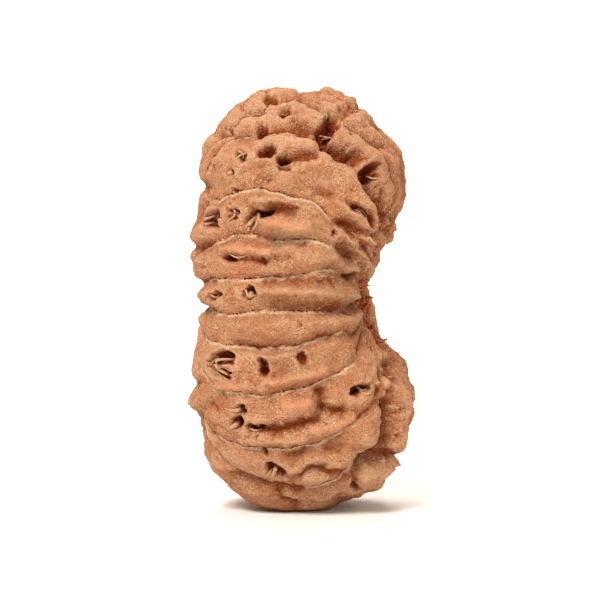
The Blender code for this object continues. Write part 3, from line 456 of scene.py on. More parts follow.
# Strands that grow from pits and poles all over: seed, length, thickness, and how far they run along
# and out of the shell
PIT_GROWTH = (5, 0.40, 0.07, 1.1, 0.8)
POLE_GROWTH = (9, 0.42, 0.13, 0.9, 0.80)
ROOTED_ABOVE = 0.55  # how much of a pit or of torn fibre a strand needs at its root
ROOT_DEPTH = 0.1
GROWN_PLACES, GROWN_CURL = 5, 0.3
STRAND_SIDES, PIT_RINGS, POLE_RINGS, STRAND_TIP = 6, 9, 4, 0.5

# The stage, in metres: the floor's size, how far behind the bead it bends up, and how widely
FLOOR_SIZE, BACKDROP_DEPTH, BACKDROP_BEND = 3.0, 0.45, 0.2
KEY_LIGHT = ((-0.14, -0.31, 0.35), 0.195)  # place, and width
FILL_LIGHT = ((0.2, -0.1, 0.12), 0.15)
BACKDROP_LIGHT = ((0, 0.22, 0.38), 0.3)
BACKDROP_AIM = Vector((0, 0.3, 0))
AIR_COLOUR = (1.0, 0.89, 0.71, 1.0)

POLE_AXIS = np.array([cos(AXIS_TURN), -sin(AXIS_TURN), 0.0])
CROSS_AXIS = np.array([sin(AXIS_TURN), cos(AXIS_TURN), 0.0])
TO_VIEWER = np.array([0.0, -cos(VIEW_TILT), sin(VIEW_TILT)])
VIEW_UP = np.array([0.0, sin(VIEW_TILT), cos(VIEW_TILT)])
STRAND_SIDEWAYS = VIEW_UP + 0.3 * POLE_AXIS  # a direction that no strand runs along
NEAREST, HALVINGS = 14.0, 30  # how the front of the body is searched for along a line of sight


def length_property(name, description, millimetres):
    return bpy.props.FloatProperty(
        name=name, description=description, default=millimetres * MM, unit="LENGTH")


def colour_property(name, description, value):
    return bpy.props.FloatVectorProperty(
        name=name, description=description, subtype="COLOR", default=value)


def power_property(name, description, watts):
    return bpy.props.FloatProperty(name=name, description=description, default=watts, unit="POWER")


class BeadShape(bpy.types.PropertyGroup):
    """Sizes of the bead's shell and fibre."""

    cells: bpy.props.IntProperty(
        name="Cells", description="Faces across each side of the shell, and twice as many up it",
        default=98, min=12, max=99)
    seam_width: length_property("Seam width", "Half width of the crease along each seam", 0.35)
    seam_depth: length_property("Seam depth", "Depth of the crease along each seam", 0.28)
    rib_shoulder: length_property("Rib shoulder", "How far from its seam a rib rounds over", 1.2)
    rib_crown: length_property("Rib crown", "How far each rib swells between its seams", 0.24)
    knob_height: length_property("Knob height", "How far the ribs stand out towards the poles", 1.1)
    knob_unevenness: length_property("Knob unevenness", "How much the knobs differ in height", 0.5)
    pit_strands: bpy.props.IntProperty(
        name="Pit strands", description="Short strands of fibre in the pits", default=420, min=0)
    core_strands: bpy.props.IntProperty(
        name="Core strands", description="Strands of torn fibre at the poles", default=1500, min=0)
    plan_shift: bpy.props.FloatVectorProperty(
        name="Plan shift", description="How far the shell is moved so that it stands in the middle",
        subtype="TRANSLATION", unit="LENGTH", size=3)


class BeadFinish(bpy.types.PropertyGroup):
    """Colours of the bead."""

    shell_colour: colour_property("Shell", "Dry woody shell", (0.455, 0.176, 0.078))
    shade_colour: colour_property("Shade", "Shell in hollows and creases", (0.245, 0.046, 0.006))
    dull_colour: colour_property("Dull", "Dull sandy patches", (0.370, 0.185, 0.095))
    # The bloom colour also paints highlights on small bumps and on the tops of the swells
    bloom_and_highlight_colour: colour_property("Bloom", "Pale sandy bloom", (0.650, 0.350, 0.200))
    rubbed_colour: colour_property("Rubbed", "Ridges rubbed smooth", (0.650, 0.262, 0.125))
    dust_colour: colour_property("Dust", "Grey-green dust in shallow hollows", (0.470, 0.350, 0.195))
    # The pit colour also paints a shadow line along each seam
    pit_and_shadow_colour: colour_property("Pit", "Depths of the pits", (0.170, 0.010, 0.001))
    # The seam colour also paints glints
    seam_and_glint_colour: colour_property("Seam", "Pale line along each seam", (0.780, 0.530, 0.330))
    fibre_colour: colour_property("Fibre", "Dry fibre in the pits", (0.580, 0.330, 0.170))
    core_colour: colour_property("Core", "Roots of the fibre", (0.320, 0.070, 0.020))
    torn_colour: colour_property("Torn", "Torn fibre at the poles", (0.500, 0.165, 0.065))


class BeadStage(bpy.types.PropertyGroup):
    """The floor, the lights and the camera."""

    floor_colour: colour_property("Floor", "Floor and backdrop", (0.900, 0.885, 0.850))
    key_power: power_property("Key light", "Soft light from the upper left", 2.6)
    fill_power: power_property("Fill light", "Soft light from the right", 0.13)
    air_strength: bpy.props.FloatProperty(
        name="Air", description="Light from all round", default=0.36)
    backdrop_power: power_property("Backdrop light", "Soft light on the backdrop", 1.8)
    view_distance: length_property(
        "Camera distance", "From the camera to the bead's middle", VIEW_DISTANCE)
    view_width: length_property(
        "Width in view", "How wide a view the camera takes in at the bead", 48.34)


def smooth_step(low, high, x):
    t = np.clip((x - low) / (high - low), 0, 1)
    return t * t * (3 - 2 * t)


def smooth_table(x, stations, values):
    """A smooth curve through the values, with slopes from their neighbours."""
    slopes = np.gradient(values, stations)
    k = np.clip(np.searchsorted(stations, x) - 1, 0, len(stations) - 2)
    span = stations[k + 1] - stations[k]
    t = np.clip((x - stations[k]) / span, 0, 1)
    ends = values[k] * (1 + 2 * t) * (1 - t) ** 2 + values[k + 1] * t * t * (3 - 2 * t)
    return ends + span * t * (1 - t) * (slopes[k] * (1 - t) - slopes[k + 1] * t)


def reaches(z, right, back):
    """Reach along X and along Y at height z, towards the plan direction (right, back)."""
    columns = [smooth_table(z, OUTLINE[:, 0], OUTLINE[:, i]) for i in range(1, 5)]
    lean = WAIST_LEAN * back * np.exp(-(((z - MIDDLE) / WAIST_HEIGHT) ** 2))
    along_x = np.where(right > 0, columns[1] + lean, columns[0] - lean)
    return along_x, np.where(back > 0, columns[3], columns[2])


def plan_radius(z, right, back):
    along_x, along_y = reaches(z, right, back)
    total = np.abs(right / along_x) ** PLAN_ROUNDNESS + np.abs(back / along_y) ** PLAN_ROUNDNESS
    return total ** (-1 / PLAN_ROUNDNESS)


def body_points(directions):
    """Points of the smooth body in these directions from its middle."""
    across, up = np.hypot(directions[:, 0], directions[:, 1]), directions[:, 2]
    bearing = np.arctan2(directions[:, 1], directions[:, 0])
    right, back = np.cos(bearing), np.sin(bearing)
    grow = (across**END_ROUNDNESS + np.abs(up) ** END_ROUNDNESS) ** (-1 / END_ROUNDNESS)
    z = MIDDLE + np.where(up > 0, REACH_UP, REACH_DOWN) * up * grow
    radius = plan_radius(z, right, back) * across * grow
    return np.stack([radius * right, radius * back, z], 1)


def is_inside(points):
    x, y, z = points.T
    bearing = np.arctan2(y, x)
    level = np.abs(z - MIDDLE) / np.where(z > MIDDLE, REACH_UP, REACH_DOWN)
    narrowing = (1 - np.clip(level, 0, 0.9999) ** END_ROUNDNESS) ** (1 / END_ROUNDNESS)
    return np.hypot(x, y) < plan_radius(z, np.cos(bearing), np.sin(bearing)) * narrowing


def seen_from_front(points):
    """Where points show in the view from the front: right of the middle, and above it."""
    from_middle = points - [0, 0, MIDDLE]
    shrink = 1 - from_middle @ TO_VIEWER / VIEW_DISTANCE
    return from_middle[:, 0] / shrink, from_middle @ VIEW_UP / shrink


def view_points(right, above, depth):
    """The points that show at these places of the view from the front, this far before its middle."""
    shrink = 1 - depth / VIEW_DISTANCE
    points = np.outer(right * shrink, [1, 0, 0]) + np.outer(above * shrink, VIEW_UP)
    return points + np.outer(depth, TO_VIEWER) + [0, 0, MIDDLE]


def front_points(seen):
    """The points of the smooth body that show at these places of the view from the front."""
    right, above = np.array(seen, float).T
    near, far = np.full(len(right), NEAREST), np.zeros(len(right))
    for _ in range(HALVINGS):
        depth = (near + far) / 2
        points = view_points(right, above, depth)
        within = is_inside(points)
        near, far = np.where(within, near, depth), np.where(within, depth, far)
    return points


def pole_angles(points):
    """Turn round the axis from pole to pole, way towards a pole, both in degrees, and ring size."""
    level, depth = (points[:, 2] - MIDDLE) / (HEIGHT / 2), -(points @ CROSS_AXIS) / HALF_DEPTH
    ring = np.hypot(level, depth)
    turn = np.degrees(np.arctan2(level, depth))
    return turn, np.degrees(np.arctan2(points @ POLE_AXIS / HALF_SPAN, ring)), ring


def seam_turns(way):
    """The turn of each seam at each point's way towards a pole, falling, and the first again."""
    rows, middles = [], []
    for seam in FRONT_SEAMS:
        turn, along, _ = pole_angles(front_points(seam))
        order = np.argsort(along)
        row = np.interp(way, along[order], turn[order])
        rows.append(np.minimum(row, rows[-1] - LEAST_RIB_TURN) if rows else row)
        middles.append(turn.mean())
    back_ribs = SEAM_COUNT - len(FRONT_SEAMS) + 1
    first, last = middles[0] - 360, middles[-1]
    for k in range(1, back_ribs):
        bend = REST_BEND * np.sin(np.radians(REST_WAVES[0] * way + REST_WAVES[1] * k))
        rows.append(last + (first - last) * k / back_ribs + bend)
    return np.array(rows + [rows[0] - 360]).T


def rib_places(points):
    """How far across its rib each point is, its distance to the nearest seam, its way towards a
    pole, a wave that is zero along every seam alone, and one that is above zero below each seam."""
    turn, way, ring = pole_angles(points)
    for place, (size, reach) in enumerate(SEAM_WANDER):
        turn = turn + reach * noise_at(points, size, NOISE["seams"] - 6 * place)
    seams = seam_turns(way)
    turn = (turn - seams[:, 0]) % -360.0 + seams[:, 0]
    rib = np.clip((seams >= turn[:, None]).sum(1) - 1, 0, SEAM_COUNT - 1)
    each = np.arange(len(points))
    above, below = seams[each, rib], seams[each, rib + 1]
    across = (above - turn) / np.maximum(above - below, 1e-3)
    angle = np.radians(turn)
    size = ring * np.hypot(HEIGHT / 2 * np.cos(angle), HALF_DEPTH * np.sin(angle))
    width = np.radians(above - below) * size
    wave = np.sin(pi * (rib + across)) * width / pi
    side = np.sin(2 * pi * across) * width / (2 * pi)
    return across, np.minimum(across, 1 - across) * width, way, wave, side


def noise_at(points, size, place, stretch=(1, 1, 1)):
    scaled = points / (size * np.array(stretch)) + place
    return np.array([noise.noise(Vector(point)) for point in scaled.tolist()])


def bump(reach):
    return np.exp(-0.9 * reach**2)


def steep_bump(reach):
    return 1 - smooth_step(0.4, 1.05, reach)


def path_distance(right, above, path):
    """Distance in the view from the front to a path of straight pieces."""
    nearest = np.full(len(right), np.inf)
    for (x, z), (next_x, next_z) in zip(path, path[1:] or path):
        run = np.array([next_x - x, next_z - z])
        along = ((right - x) * run[0] + (above - z) * run[1]) / max(run @ run, 1e-9)
        along = np.clip(along, 0, 1)
        nearest = np.minimum(nearest, np.hypot(right - x - along * run[0], above - z - along * run[1]))
    return nearest


def strongest(right, above, marks, shape):
    """At each place, the strongest of these marks there."""
    found = np.zeros(len(right))
    for width, size, path in marks:
        found = np.maximum(found, size * shape(path_distance(right, above, path) / width))
    return found


def ragged_view(points):
    """Where points show in the view from the front, shifted a little so that marks get ragged outlines."""
    right, above = seen_from_front(points)
    for place, (size, reach) in enumerate(RAGGED):
        right = right + reach * noise_at(points, size, NOISE["ragged_right"] + place)
        above = above + reach * noise_at(points, size, NOISE["ragged_above"] + place)
    return right, above


def front_relief(right, above):
    height = np.zeros(len(right))
    for marks, shape, sign in ((RIDGES, bump, 1), (HOLLOWS, bump, -1), (PITS + CRACKS, steep_bump, -1)):
        for width, size, path in marks:
            height += sign * size * shape(path_distance(right, above, path) / width)
    return height


def drawn_relief(points):
    """Pits, ridges and hollows drawn at random, most of them along their rib, and the pits' depth alone."""
    draw = random.Random(MARK_SEED)
    kinds = list(MARK_KINDS)
    shares = [MARK_KINDS[kind][3] for kind in kinds]
    raised, sunk, pits = np.zeros(len(points)), np.zeros(len(points)), np.zeros(len(points))
    for _ in range(MARK_COUNT):
        direction = np.array([[draw.gauss(0, 1), draw.gauss(0, 1), draw.gauss(0, 1.4)]])
        centre = body_points(direction / np.linalg.norm(direction))[0]
        kind = draw.choices(kinds, shares)[0]
        length, width, size, _ = MARK_KINDS[kind]
        length *= draw.uniform(*MARK_LENGTHS)
        width *= draw.uniform(*MARK_WIDTHS)
        size *= draw.uniform(*MARK_HEIGHTS)
        line = POLE_AXIS + [draw.uniform(-MARK_SPREAD, MARK_SPREAD) for _ in range(3)]
        near = np.flatnonzero(np.linalg.norm(points - centre, axis=1) < 1.6 * (length + 2 * width))
        offset = points[near] - centre
        along = np.clip(offset @ line, -length, length)
        reach = np.linalg.norm(offset - along[:, None] * line, axis=1) / width
        if kind == "ridge":
            raised[near] = np.maximum(raised[near], size * bump(reach))
        elif kind == "hollow":
            sunk[near] = np.minimum(sunk[near], size * bump(reach))
        else:
            pits[near] = np.minimum(pits[near], size * steep_bump(reach))
    return raised + np.minimum(sunk, pits), -pits


def rib_relief(shape, points, unseen):
    across, to_seam, way, wave, side = rib_places(points)
    height = shape.rib_crown / MM * (0.5 - bump(to_seam / (shape.rib_shoulder / MM)))
    height -= shape.seam_depth / MM * bump(to_seam / (shape.seam_width / MM))
    swell = np.sin(pi * across) ** RIB_ROUNDNESS
    height += REST_CROWN * unseen * (swell - REST_BASE)
    outer = smooth_step(KNOB_START, KNOB_FULL, np.abs(way)) * (1 - smooth_step(KNOB_END, POLE, np.abs(way)))
    knobs = shape.knob_height / MM * (swell - KNOB_BASE)
    knobs += shape.knob_unevenness / MM * noise_at(points, KNOB_SIZE, NOISE["knobs"])
    return height + outer * (KNOBS_IN_FRONT + (1 - KNOBS_IN_FRONT) * unseen) * knobs, wave, side


def pole_relief(points):
    """The dimple at each pole with its core, and how much of each point is torn fibre."""
    side = points @ POLE_AXIS
    height, torn = np.zeros(len(points)), np.zeros(len(points))
    for sign, (depth, half_width, half_height, set_back) in ((1, RIGHT_DIMPLE), (-1, LEFT_DIMPLE)):
        aside = (points @ CROSS_AXIS - set_back) / half_width
        reach = np.hypot(aside, (points[:, 2] - MIDDLE) / half_height)
        dimple = CORE_HEIGHT * bump(reach / CORE_SPREAD) - depth * bump(reach)
        height += np.where(sign * side > 0, dimple, 0)
        torn += np.where(sign * side > 0, 1 - smooth_step(*TORN_EDGE, reach), 0)
    return height, torn


def swell_cube(points):
    """The corners of a cut cube, moved out to a ball: directions from the middle."""
    x, y, z = points.T
    return np.stack([
        x * np.sqrt(1 - y * y / 2 - z * z / 2 + y * y * z * z / 3),
        y * np.sqrt(1 - z * z / 2 - x * x / 2 + z * z * x * x / 3),
        z * np.sqrt(1 - x * x / 2 - y * y / 2 + x * x * y * y / 3),
    ], 1)


def outward_normals(points, corners):
    first = points[corners[:, 2]] - points[corners[:, 0]]
    second = points[corners[:, 3]] - points[corners[:, 1]]
    faces = np.cross(first, second)
    total = np.stack([
        sum(np.bincount(corner, faces[:, axis], len(points)) for corner in corners.T) for axis in range(3)
    ], 1)
    return total / np.linalg.norm(total, axis=1)[:, None]


def smoothed(points, edges, rounds):
    """The points after each has moved this many times towards the mean of its neighbours."""
    count = np.bincount(edges.ravel(), minlength=len(points))
    for _ in range(rounds):
        total = np.stack([
            np.bincount(edges[:, 0], points[edges[:, 1], axis], len(points))
            + np.bincount(edges[:, 1], points[edges[:, 0], axis], len(points)) for axis in range(3)
        ], 1)
        points = (points + total / count[:, None]) / 2
    return points


def shell_surface(shape, directions, corners):
    """The finished surface, and what its finish needs to know at each point."""
    body = body_points(directions)
    normals = outward_normals(body, corners)
    facing = normals @ TO_VIEWER
    unseen = 1 - smooth_step(*REST_FADE, facing)
    seen = smooth_step(*FRONT_FADE, facing)
    right, above = ragged_view(body)
    ribs, wave, side = rib_relief(shape, body, unseen)
    poles, torn = pole_relief(body)
    size, reach = DRAWN_WOBBLE
    wobble = np.stack([noise_at(body, size, NOISE["drawn"] + k) for k in range(3)], 1)
    drawn, drawn_pits = drawn_relief(body + reach * wobble)
    height = ribs + poles + seen * front_relief(right, above) + unseen * drawn
    sunk = np.maximum(seen * strongest(right, above, PITS + CRACKS, steep_bump), unseen * drawn_pits)
    for place, (size, rise) in enumerate(GRAIN):
        height += rise * noise_at(body, size, NOISE["grain"] + 6 * place, (1.6, 1, 1))
    wrinkles = 1 - 2 * np.abs(noise_at(body, WRINKLE_SIZE, NOISE["wrinkles"], (3, 1, 1)))
    lumpy = np.maximum(smooth_step(*LUMPS_ASIDE, right), smooth_step(*LUMPS_ABOVE, np.abs(above)))
    lumps = np.abs(noise_at(body, LUMP_SIZE, NOISE["lumps"], (1.3, 1, 0.8)))
    height += LUMP_HEIGHT * lumpy * (lumps - LUMP_CREASE)
    wrinkled = np.clip(0.5 + noise_at(body, WRINKLED_SIZE, NOISE["wrinkled"]), 0, 1)
    height += WRINKLE_HEIGHT * wrinkles * wrinkled
    size, rise = PIT_LUMPS
    fibrous = np.clip(sunk + TORN_AS_PIT * torn, 0, 1)
    height += rise * fibrous * noise_at(body, size, NOISE["pits"], (1, 1, 2))
    size, rise = TORN_LUMPS
    height += rise * torn * np.abs(noise_at(body, size, NOISE["torn"]))
    height *= FOOT_RELIEF + (1 - FOOT_RELIEF) * smooth_step(0, FOOT_FADE, body[:, 2])
    points = body + normals * height[:, None]
    points[:, 2] = np.maximum(points[:, 2], 0) * HEIGHT / points[:, 2].max()
    shift = -(points.min(0) + points.max(0)) / 2 * [1, 1, 0]
    facts = {
        "seam": wave,
        "side": side,
        "faded": seen * smooth_step(0, SEAM_FADE_WIDTH, right - SEAM_FADE + SEAM_FADE_LEAN * above),
        "sunk": sunk,
        "torn": torn,
        "hollow": seen * strongest(right, above, HOLLOWS, bump),
        "rubbed": seen * strongest(right, above, RUBBED, bump),
        "dusty": seen * strongest(right, above, DUSTY, bump),
        "bare_and_shaded": seen * strongest(right, above, BARE_AND_SHADED, bump),
    }
    return points + shift, shift, facts


def hollows(points, corners, edges):
    """How far each point lies below its surroundings, near and further off."""
    normals = outward_normals(points, corners)
    near, far = smoothed(points, edges, NEAR_ROUNDS), smoothed(points, edges, FAR_ROUNDS)
    return ((near - points) * normals).sum(1), ((far - points) * normals).sum(1)


def deselect_all():
    for thing in bpy.context.selected_objects:
        thing.select_set(False)


def select_edges(thing, is_wanted):
    """Leaves a thing in edit mode, with those edges selected whose ends meet a condition."""
    bpy.ops.object.mode_set(mode="EDIT")
    bpy.ops.mesh.select_mode(type="EDGE")
    bpy.ops.mesh.select_all(action="DESELECT")
    bpy.ops.object.mode_set(mode="OBJECT")
    for edge in thing.data.edges:
        edge.select = is_wanted(*(thing.data.vertices[corner].co for corner in edge.vertices))
    bpy.ops.object.mode_set(mode="EDIT")


def cut_cube(name, cells):
    """A cube cut into cells, twice as many up its sides."""
    deselect_all()
    bpy.ops.mesh.primitive_cube_add(size=2)
    cube = bpy.context.object
    cube.name = cube.data.name = name
    bpy.ops.object.mode_set(mode="EDIT")
    bpy.ops.mesh.select_mode(type="EDGE")
    bpy.ops.mesh.subdivide(number_cuts=cells - 1)
    select_edges(cube, lambda start, end: abs(start.z - end.z) > 1 / cells)
    bpy.ops.mesh.subdivide(number_cuts=1)
    bpy.ops.object.mode_set(mode="OBJECT")
    return cube


def mesh_array(items, name, width, kind=float):
    values = np.empty(len(items) * width, np.float32 if kind is float else np.int32)
    items.foreach_get(name, values)
    return values.reshape(-1, width).astype(kind)


def keep_fact(mesh, name, values):
    mesh.attributes.new(name, "FLOAT", "POINT").data.foreach_set("value", values.astype(np.float32))


class Value:
    """A node's output that Python's own signs add maths nodes to."""

    def __init__(self, finish, socket):
        self.finish, self.socket = finish, socket

    def __add__(self, other):
        return self.finish.sum("ADD", self, other)

    def __sub__(self, other):
        return self.finish.sum("SUBTRACT", self, other)

    def __rsub__(self, other):
        return self.finish.sum("SUBTRACT", other, self)

    def __mul__(self, other):
        return self.finish.sum("MULTIPLY", self, other)

    def __abs__(self):
        return self.finish.sum("ABSOLUTE", self)

    __radd__, __rmul__ = __add__, __mul__


class Finish:
    """A material, and the nodes that it is made of."""

    def __init__(self, name):
        self.material = bpy.data.materials.new(name)
        self.material.use_nodes = True
        self.tree = self.material.node_tree
        self.shader = self.tree.nodes["Principled BSDF"]
        place = self.node("ShaderNodeTexCoord", output="Object")
        self.place = self.node("ShaderNodeVectorMath", {"operation": "SCALE"}, {0: place, "Scale": 1 / MM},
                               "Vector")

    def node(self, kind, settings=None, inputs=None, output=0):
        """Adds a node of this kind, sets it up, feeds its sockets, and gives one of its outputs."""
        made = self.tree.nodes.new(kind)
        for name, value in (settings or {}).items():
            setattr(made, name, value)
        for name, value in (inputs or {}).items():
            self.feed(made.inputs[name], value)
        return Value(self, made.outputs[output])

    def feed(self, socket, value):
        if isinstance(value, Value):
            self.tree.links.new(value.socket, socket)
        else:
            socket.default_value = value

    def sum(self, operation, *terms):
        return self.node("ShaderNodeMath", {"operation": operation}, dict(enumerate(terms)))

    def fact(self, name):
        """What the surface has kept under this name."""
        return self.node("ShaderNodeAttribute", {"attribute_name": name}, output="Fac")

    def step(self, value, low, high):
        """A soft step from 0 at low to 1 at high."""
        if high < low:
            return 1 - self.step(value, high, low)
        settings = {"interpolation_type": "SMOOTHSTEP"}
        return self.node("ShaderNodeMapRange", settings, {0: value, 1: low, 2: high, 3: 0.0, 4: 1.0})

    def grain(self, size, detail=2.0, place=None):
        """Noise round 0.5 with lumps of about this many millimetres."""
        inputs = {"Vector": place or self.place, "Scale": 1 / size, "Detail": detail}
        return self.node("ShaderNodeTexNoise", None, inputs)

    def stretched(self, x, y, z):
        """The place, squeezed along each axis, so that a pattern is drawn out along it."""
        return self.node("ShaderNodeVectorMath", {"operation": "MULTIPLY"}, {0: self.place, 1: (x, y, z)},
                         "Vector")

    def mix(self, share, start, end):
        """A colour from start to end by this share."""
        inputs = {0: share, 6: colour(start), 7: colour(end)}
        return self.node("ShaderNodeMix", {"data_type": "RGBA"}, inputs, 2)

    def finish(self, **inputs):
        """Feeds the shader's own sockets, named in lower case, and gives the material."""
        for name, value in inputs.items():
            self.feed(self.shader.inputs[name.replace("_", " ").title().replace("Ior", "IOR")], value)
        return self.material


def colour(value):
    return value if isinstance(value, Value) else (*value[:3], 1.0)


def shell_finish(look):
    """Dry woody shell: sandy bloom, painted shade and highlights, painted glints, rubbed ridges, dark pits, and
    pale seams with a painted shadow line along them.
    """
    finish = Finish("shell_finish")
    seam, side, shown = finish.fact("seam"), finish.fact("side"), 1 - finish.fact("faded")
    sunk, torn = finish.fact("sunk"), finish.fact("torn")
    near, far = finish.fact("near_hollow"), finish.fact("far_hollow")
    hollow, bare_and_shaded = finish.fact("hollow"), finish.fact("bare_and_shaded")
    broad, patchy = finish.grain(5.0), finish.grain(1.4, 3.0)
    sand, fine_sand = finish.grain(0.16, 1.0), finish.grain(0.09, 0.0)
    streaks = finish.grain(0.8, 3.0, finish.stretched(0.3, 1, 1))

    # Painted shade: darker where the shell lies below its surroundings further off, and along the hollows on
    # the front
    shade = finish.step(far + 0.35 * (patchy - 0.5) + 0.22 * hollow, -0.04, 0.38)
    shell = finish.mix(shade, look.shell_colour, look.shade_colour)
    bloom = finish.step(broad + 0.5 * (patchy - 0.5) - 0.6 * shade - 0.25 * bare_and_shaded, 0.38, 0.72)
    speckle = finish.step(sand + 0.6 * (fine_sand - 0.5), 0.46, 0.62)
    dull = finish.step(finish.grain(3.2, 2.0) + 0.3 * (patchy - 0.5), 0.48, 0.66)
    shell = finish.mix(0.5 * dull, shell, look.dull_colour)
    shell = finish.mix(bloom * (0.08 + 0.72 * speckle), shell, look.bloom_and_highlight_colour)
    # Painted shade in grooves, gaps and valleys, where the bloom is also thin
    shell = finish.mix(0.6 * bare_and_shaded * (0.6 + 0.8 * patchy), shell, look.shade_colour)
    dark_specks = finish.step(sand + 0.6 * (fine_sand - 0.5), 0.46, 0.28)
    shell = finish.mix(0.6 * dark_specks, shell, look.shade_colour)
    # Painted glints: pale specks
    sparkle = finish.step(finish.grain(0.10, 1.0), 0.56, 0.66) * finish.step(patchy, 0.35, 0.6)
    shell = finish.mix(0.65 * sparkle, shell, look.seam_and_glint_colour)
    # Painted shade in small creases
    shell = finish.mix(finish.step(near, 0.01, 0.08) * 0.7, shell, look.shade_colour)
    # Painted highlight on small bumps
    shell = finish.mix(finish.step(-1 * near, 0.02, 0.09) * 0.4, shell, look.bloom_and_highlight_colour)
    # Painted highlight on the tops of the broad swells
    tops = finish.step(-1 * far + 0.25 * (streaks - 0.5), 0.02, 0.32)
    rubbed = finish.step(finish.fact("rubbed") + 0.8 * (streaks - 0.5), 0.35, 0.95)
    shell = finish.mix(0.4 * tops, shell, look.bloom_and_highlight_colour)
    shell = finish.mix(rubbed * (0.85 - 0.25 * speckle), shell, look.rubbed_colour)
    shell = finish.mix(finish.fact("dusty") * (0.3 + 0.5 * speckle), shell, look.dust_colour)

    near_seam = finish.step(abs(seam), 0.45, 0.25) * shown
    beside = side + 0.16 * (finish.grain(0.35) - 0.5) + 0.06 * (fine_sand - 0.5)
    broken = finish.step(finish.grain(1.6, 2.0) + 0.25 * (broad - 0.5), 0.34, 0.52)
    edge = finish.step(abs(beside - 0.08), 0.28, 0.08) * finish.step(finish.grain(0.5), 0.3, 0.6)
    shell = finish.mix(0.30 * edge * near_seam, shell, look.seam_and_glint_colour)
    # Painted shadow: a thin broken dark line along each seam, under the overhang of the rib above
    under = finish.step(abs(beside + 0.09), 0.08, 0.03) * finish.step(finish.grain(0.6, 2.0), 0.42, 0.58)
    shell = finish.mix(0.45 * under * near_seam, shell, look.pit_and_shadow_colour)
    crumbs = 0.55 + 0.45 * finish.step(finish.grain(0.18, 0.0), 0.4, 0.6)
    line = finish.step(abs(beside - 0.05), 0.12, 0.045) * broken * crumbs * near_seam
    shell = finish.mix(0.85 * line, shell, look.seam_and_glint_colour)
    holes = finish.step(finish.grain(0.22, 0.0), 0.36, 0.29)
    holes = holes * finish.step(abs(beside + 0.08), 0.10, 0.06) * near_seam
    shell = finish.mix(holes, shell, look.pit_and_shadow_colour)

    depth = finish.step(sunk + 0.3 * (patchy - 0.5), 0.15, 0.65)
    deep = finish.step(sunk, 0.6, 1.1)
    fibrous = finish.step(finish.grain(0.3, 3.0, finish.stretched(1, 1, 0.4)), 0.35, 0.65)
    pit = finish.mix(deep, finish.mix(fibrous, look.shade_colour, look.core_colour), look.pit_and_shadow_colour)
    shell = finish.mix(depth, shell, finish.mix(0.3 * fibrous, pit, look.core_colour))
    shell = finish.mix(torn, shell, finish.mix(fibrous, look.pit_and_shadow_colour, look.core_colour))

    rough = 0.74 + 0.14 * bloom - 0.26 * rubbed
    pores = finish.step(finish.grain(0.35, 1.0), 0.33, 0.22)
    height = 0.15 * finish.grain(0.45, 3.0) + 0.18 * sand + 0.14 * fine_sand - 0.08 * pores
    height = height + 0.035 * line - 0.06 * under - 0.10 * holes + 0.12 * (depth + torn) * fibrous
    bumps = finish.node("ShaderNodeBump", None, {"Height": height, "Distance": MM})
    return finish.finish(base_color=shell, roughness=rough, normal=bumps, specular_ior_level=0.12)


class BEAD_OT_shell(bpy.types.Operator):
    """Model the woody shell with its eighteen ribs, its seams, knobs and pits"""

    bl_idname = "bead.shell"
    bl_label = "Shell"

    def execute(self, context):
        shape = context.scene.bead_shape
        shell = cut_cube("shell", shape.cells)
        mesh = shell.data
        corners = mesh_array(mesh.loops, "vertex_index", 1, int).reshape(-1, 4)
        edges = mesh_array(mesh.edges, "vertices", 2, int)
        directions = swell_cube(mesh_array(mesh.vertices, "co", 3))
        points, shift, facts = shell_surface(shape, directions, corners)
        shape.plan_shift = shift * MM
        facts["near_hollow"], facts["far_hollow"] = hollows(points, corners, edges)
        mesh.vertices.foreach_set("co", (points * MM).astype(np.float32).ravel())
        for name, values in facts.items():
            keep_fact(mesh, name, values)
        mesh.update()
        bpy.ops.object.shade_smooth()
        mesh.materials.append(shell_finish(context.scene.bead_finish))
        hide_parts("bead")
        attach(shell, "root")
        return {"FINISHED"}


def line_of_sight(shell, shift, place):
    """How far before the middle of the view from the front the shell shows at this place of it."""
    eye = Vector(shift + [0, 0, MIDDLE] + VIEW_DISTANCE * TO_VIEWER) * MM
    aim = Vector(shift + view_points(*np.array([place]).T, np.zeros(1))[0]) * MM
    found, point, _, _ = shell.ray_cast(eye, (aim - eye).normalized())
    if not found:
        raise RuntimeError(f"the shell doesn't show at {place}")
    return (np.array(point) / MM - shift - [0, 0, MIDDLE]) @ TO_VIEWER


def drawn_strand(shell, shift, places, middle_lift, tip_lift):
    """The path of a strand from the first to the last of these places of the view."""
    sights = np.array([line_of_sight(shell, shift, place) for place in places])
    along = np.linspace(0, 1, len(places))
    straight = sights[0] + (sights[-1] - sights[0]) * along
    depth = np.maximum(straight, sights) + middle_lift * np.sin(pi * along) + tip_lift * along
    depth[0] -= ROOT_DEPTH
    return view_points(*np.array(places).T, depth) + shift


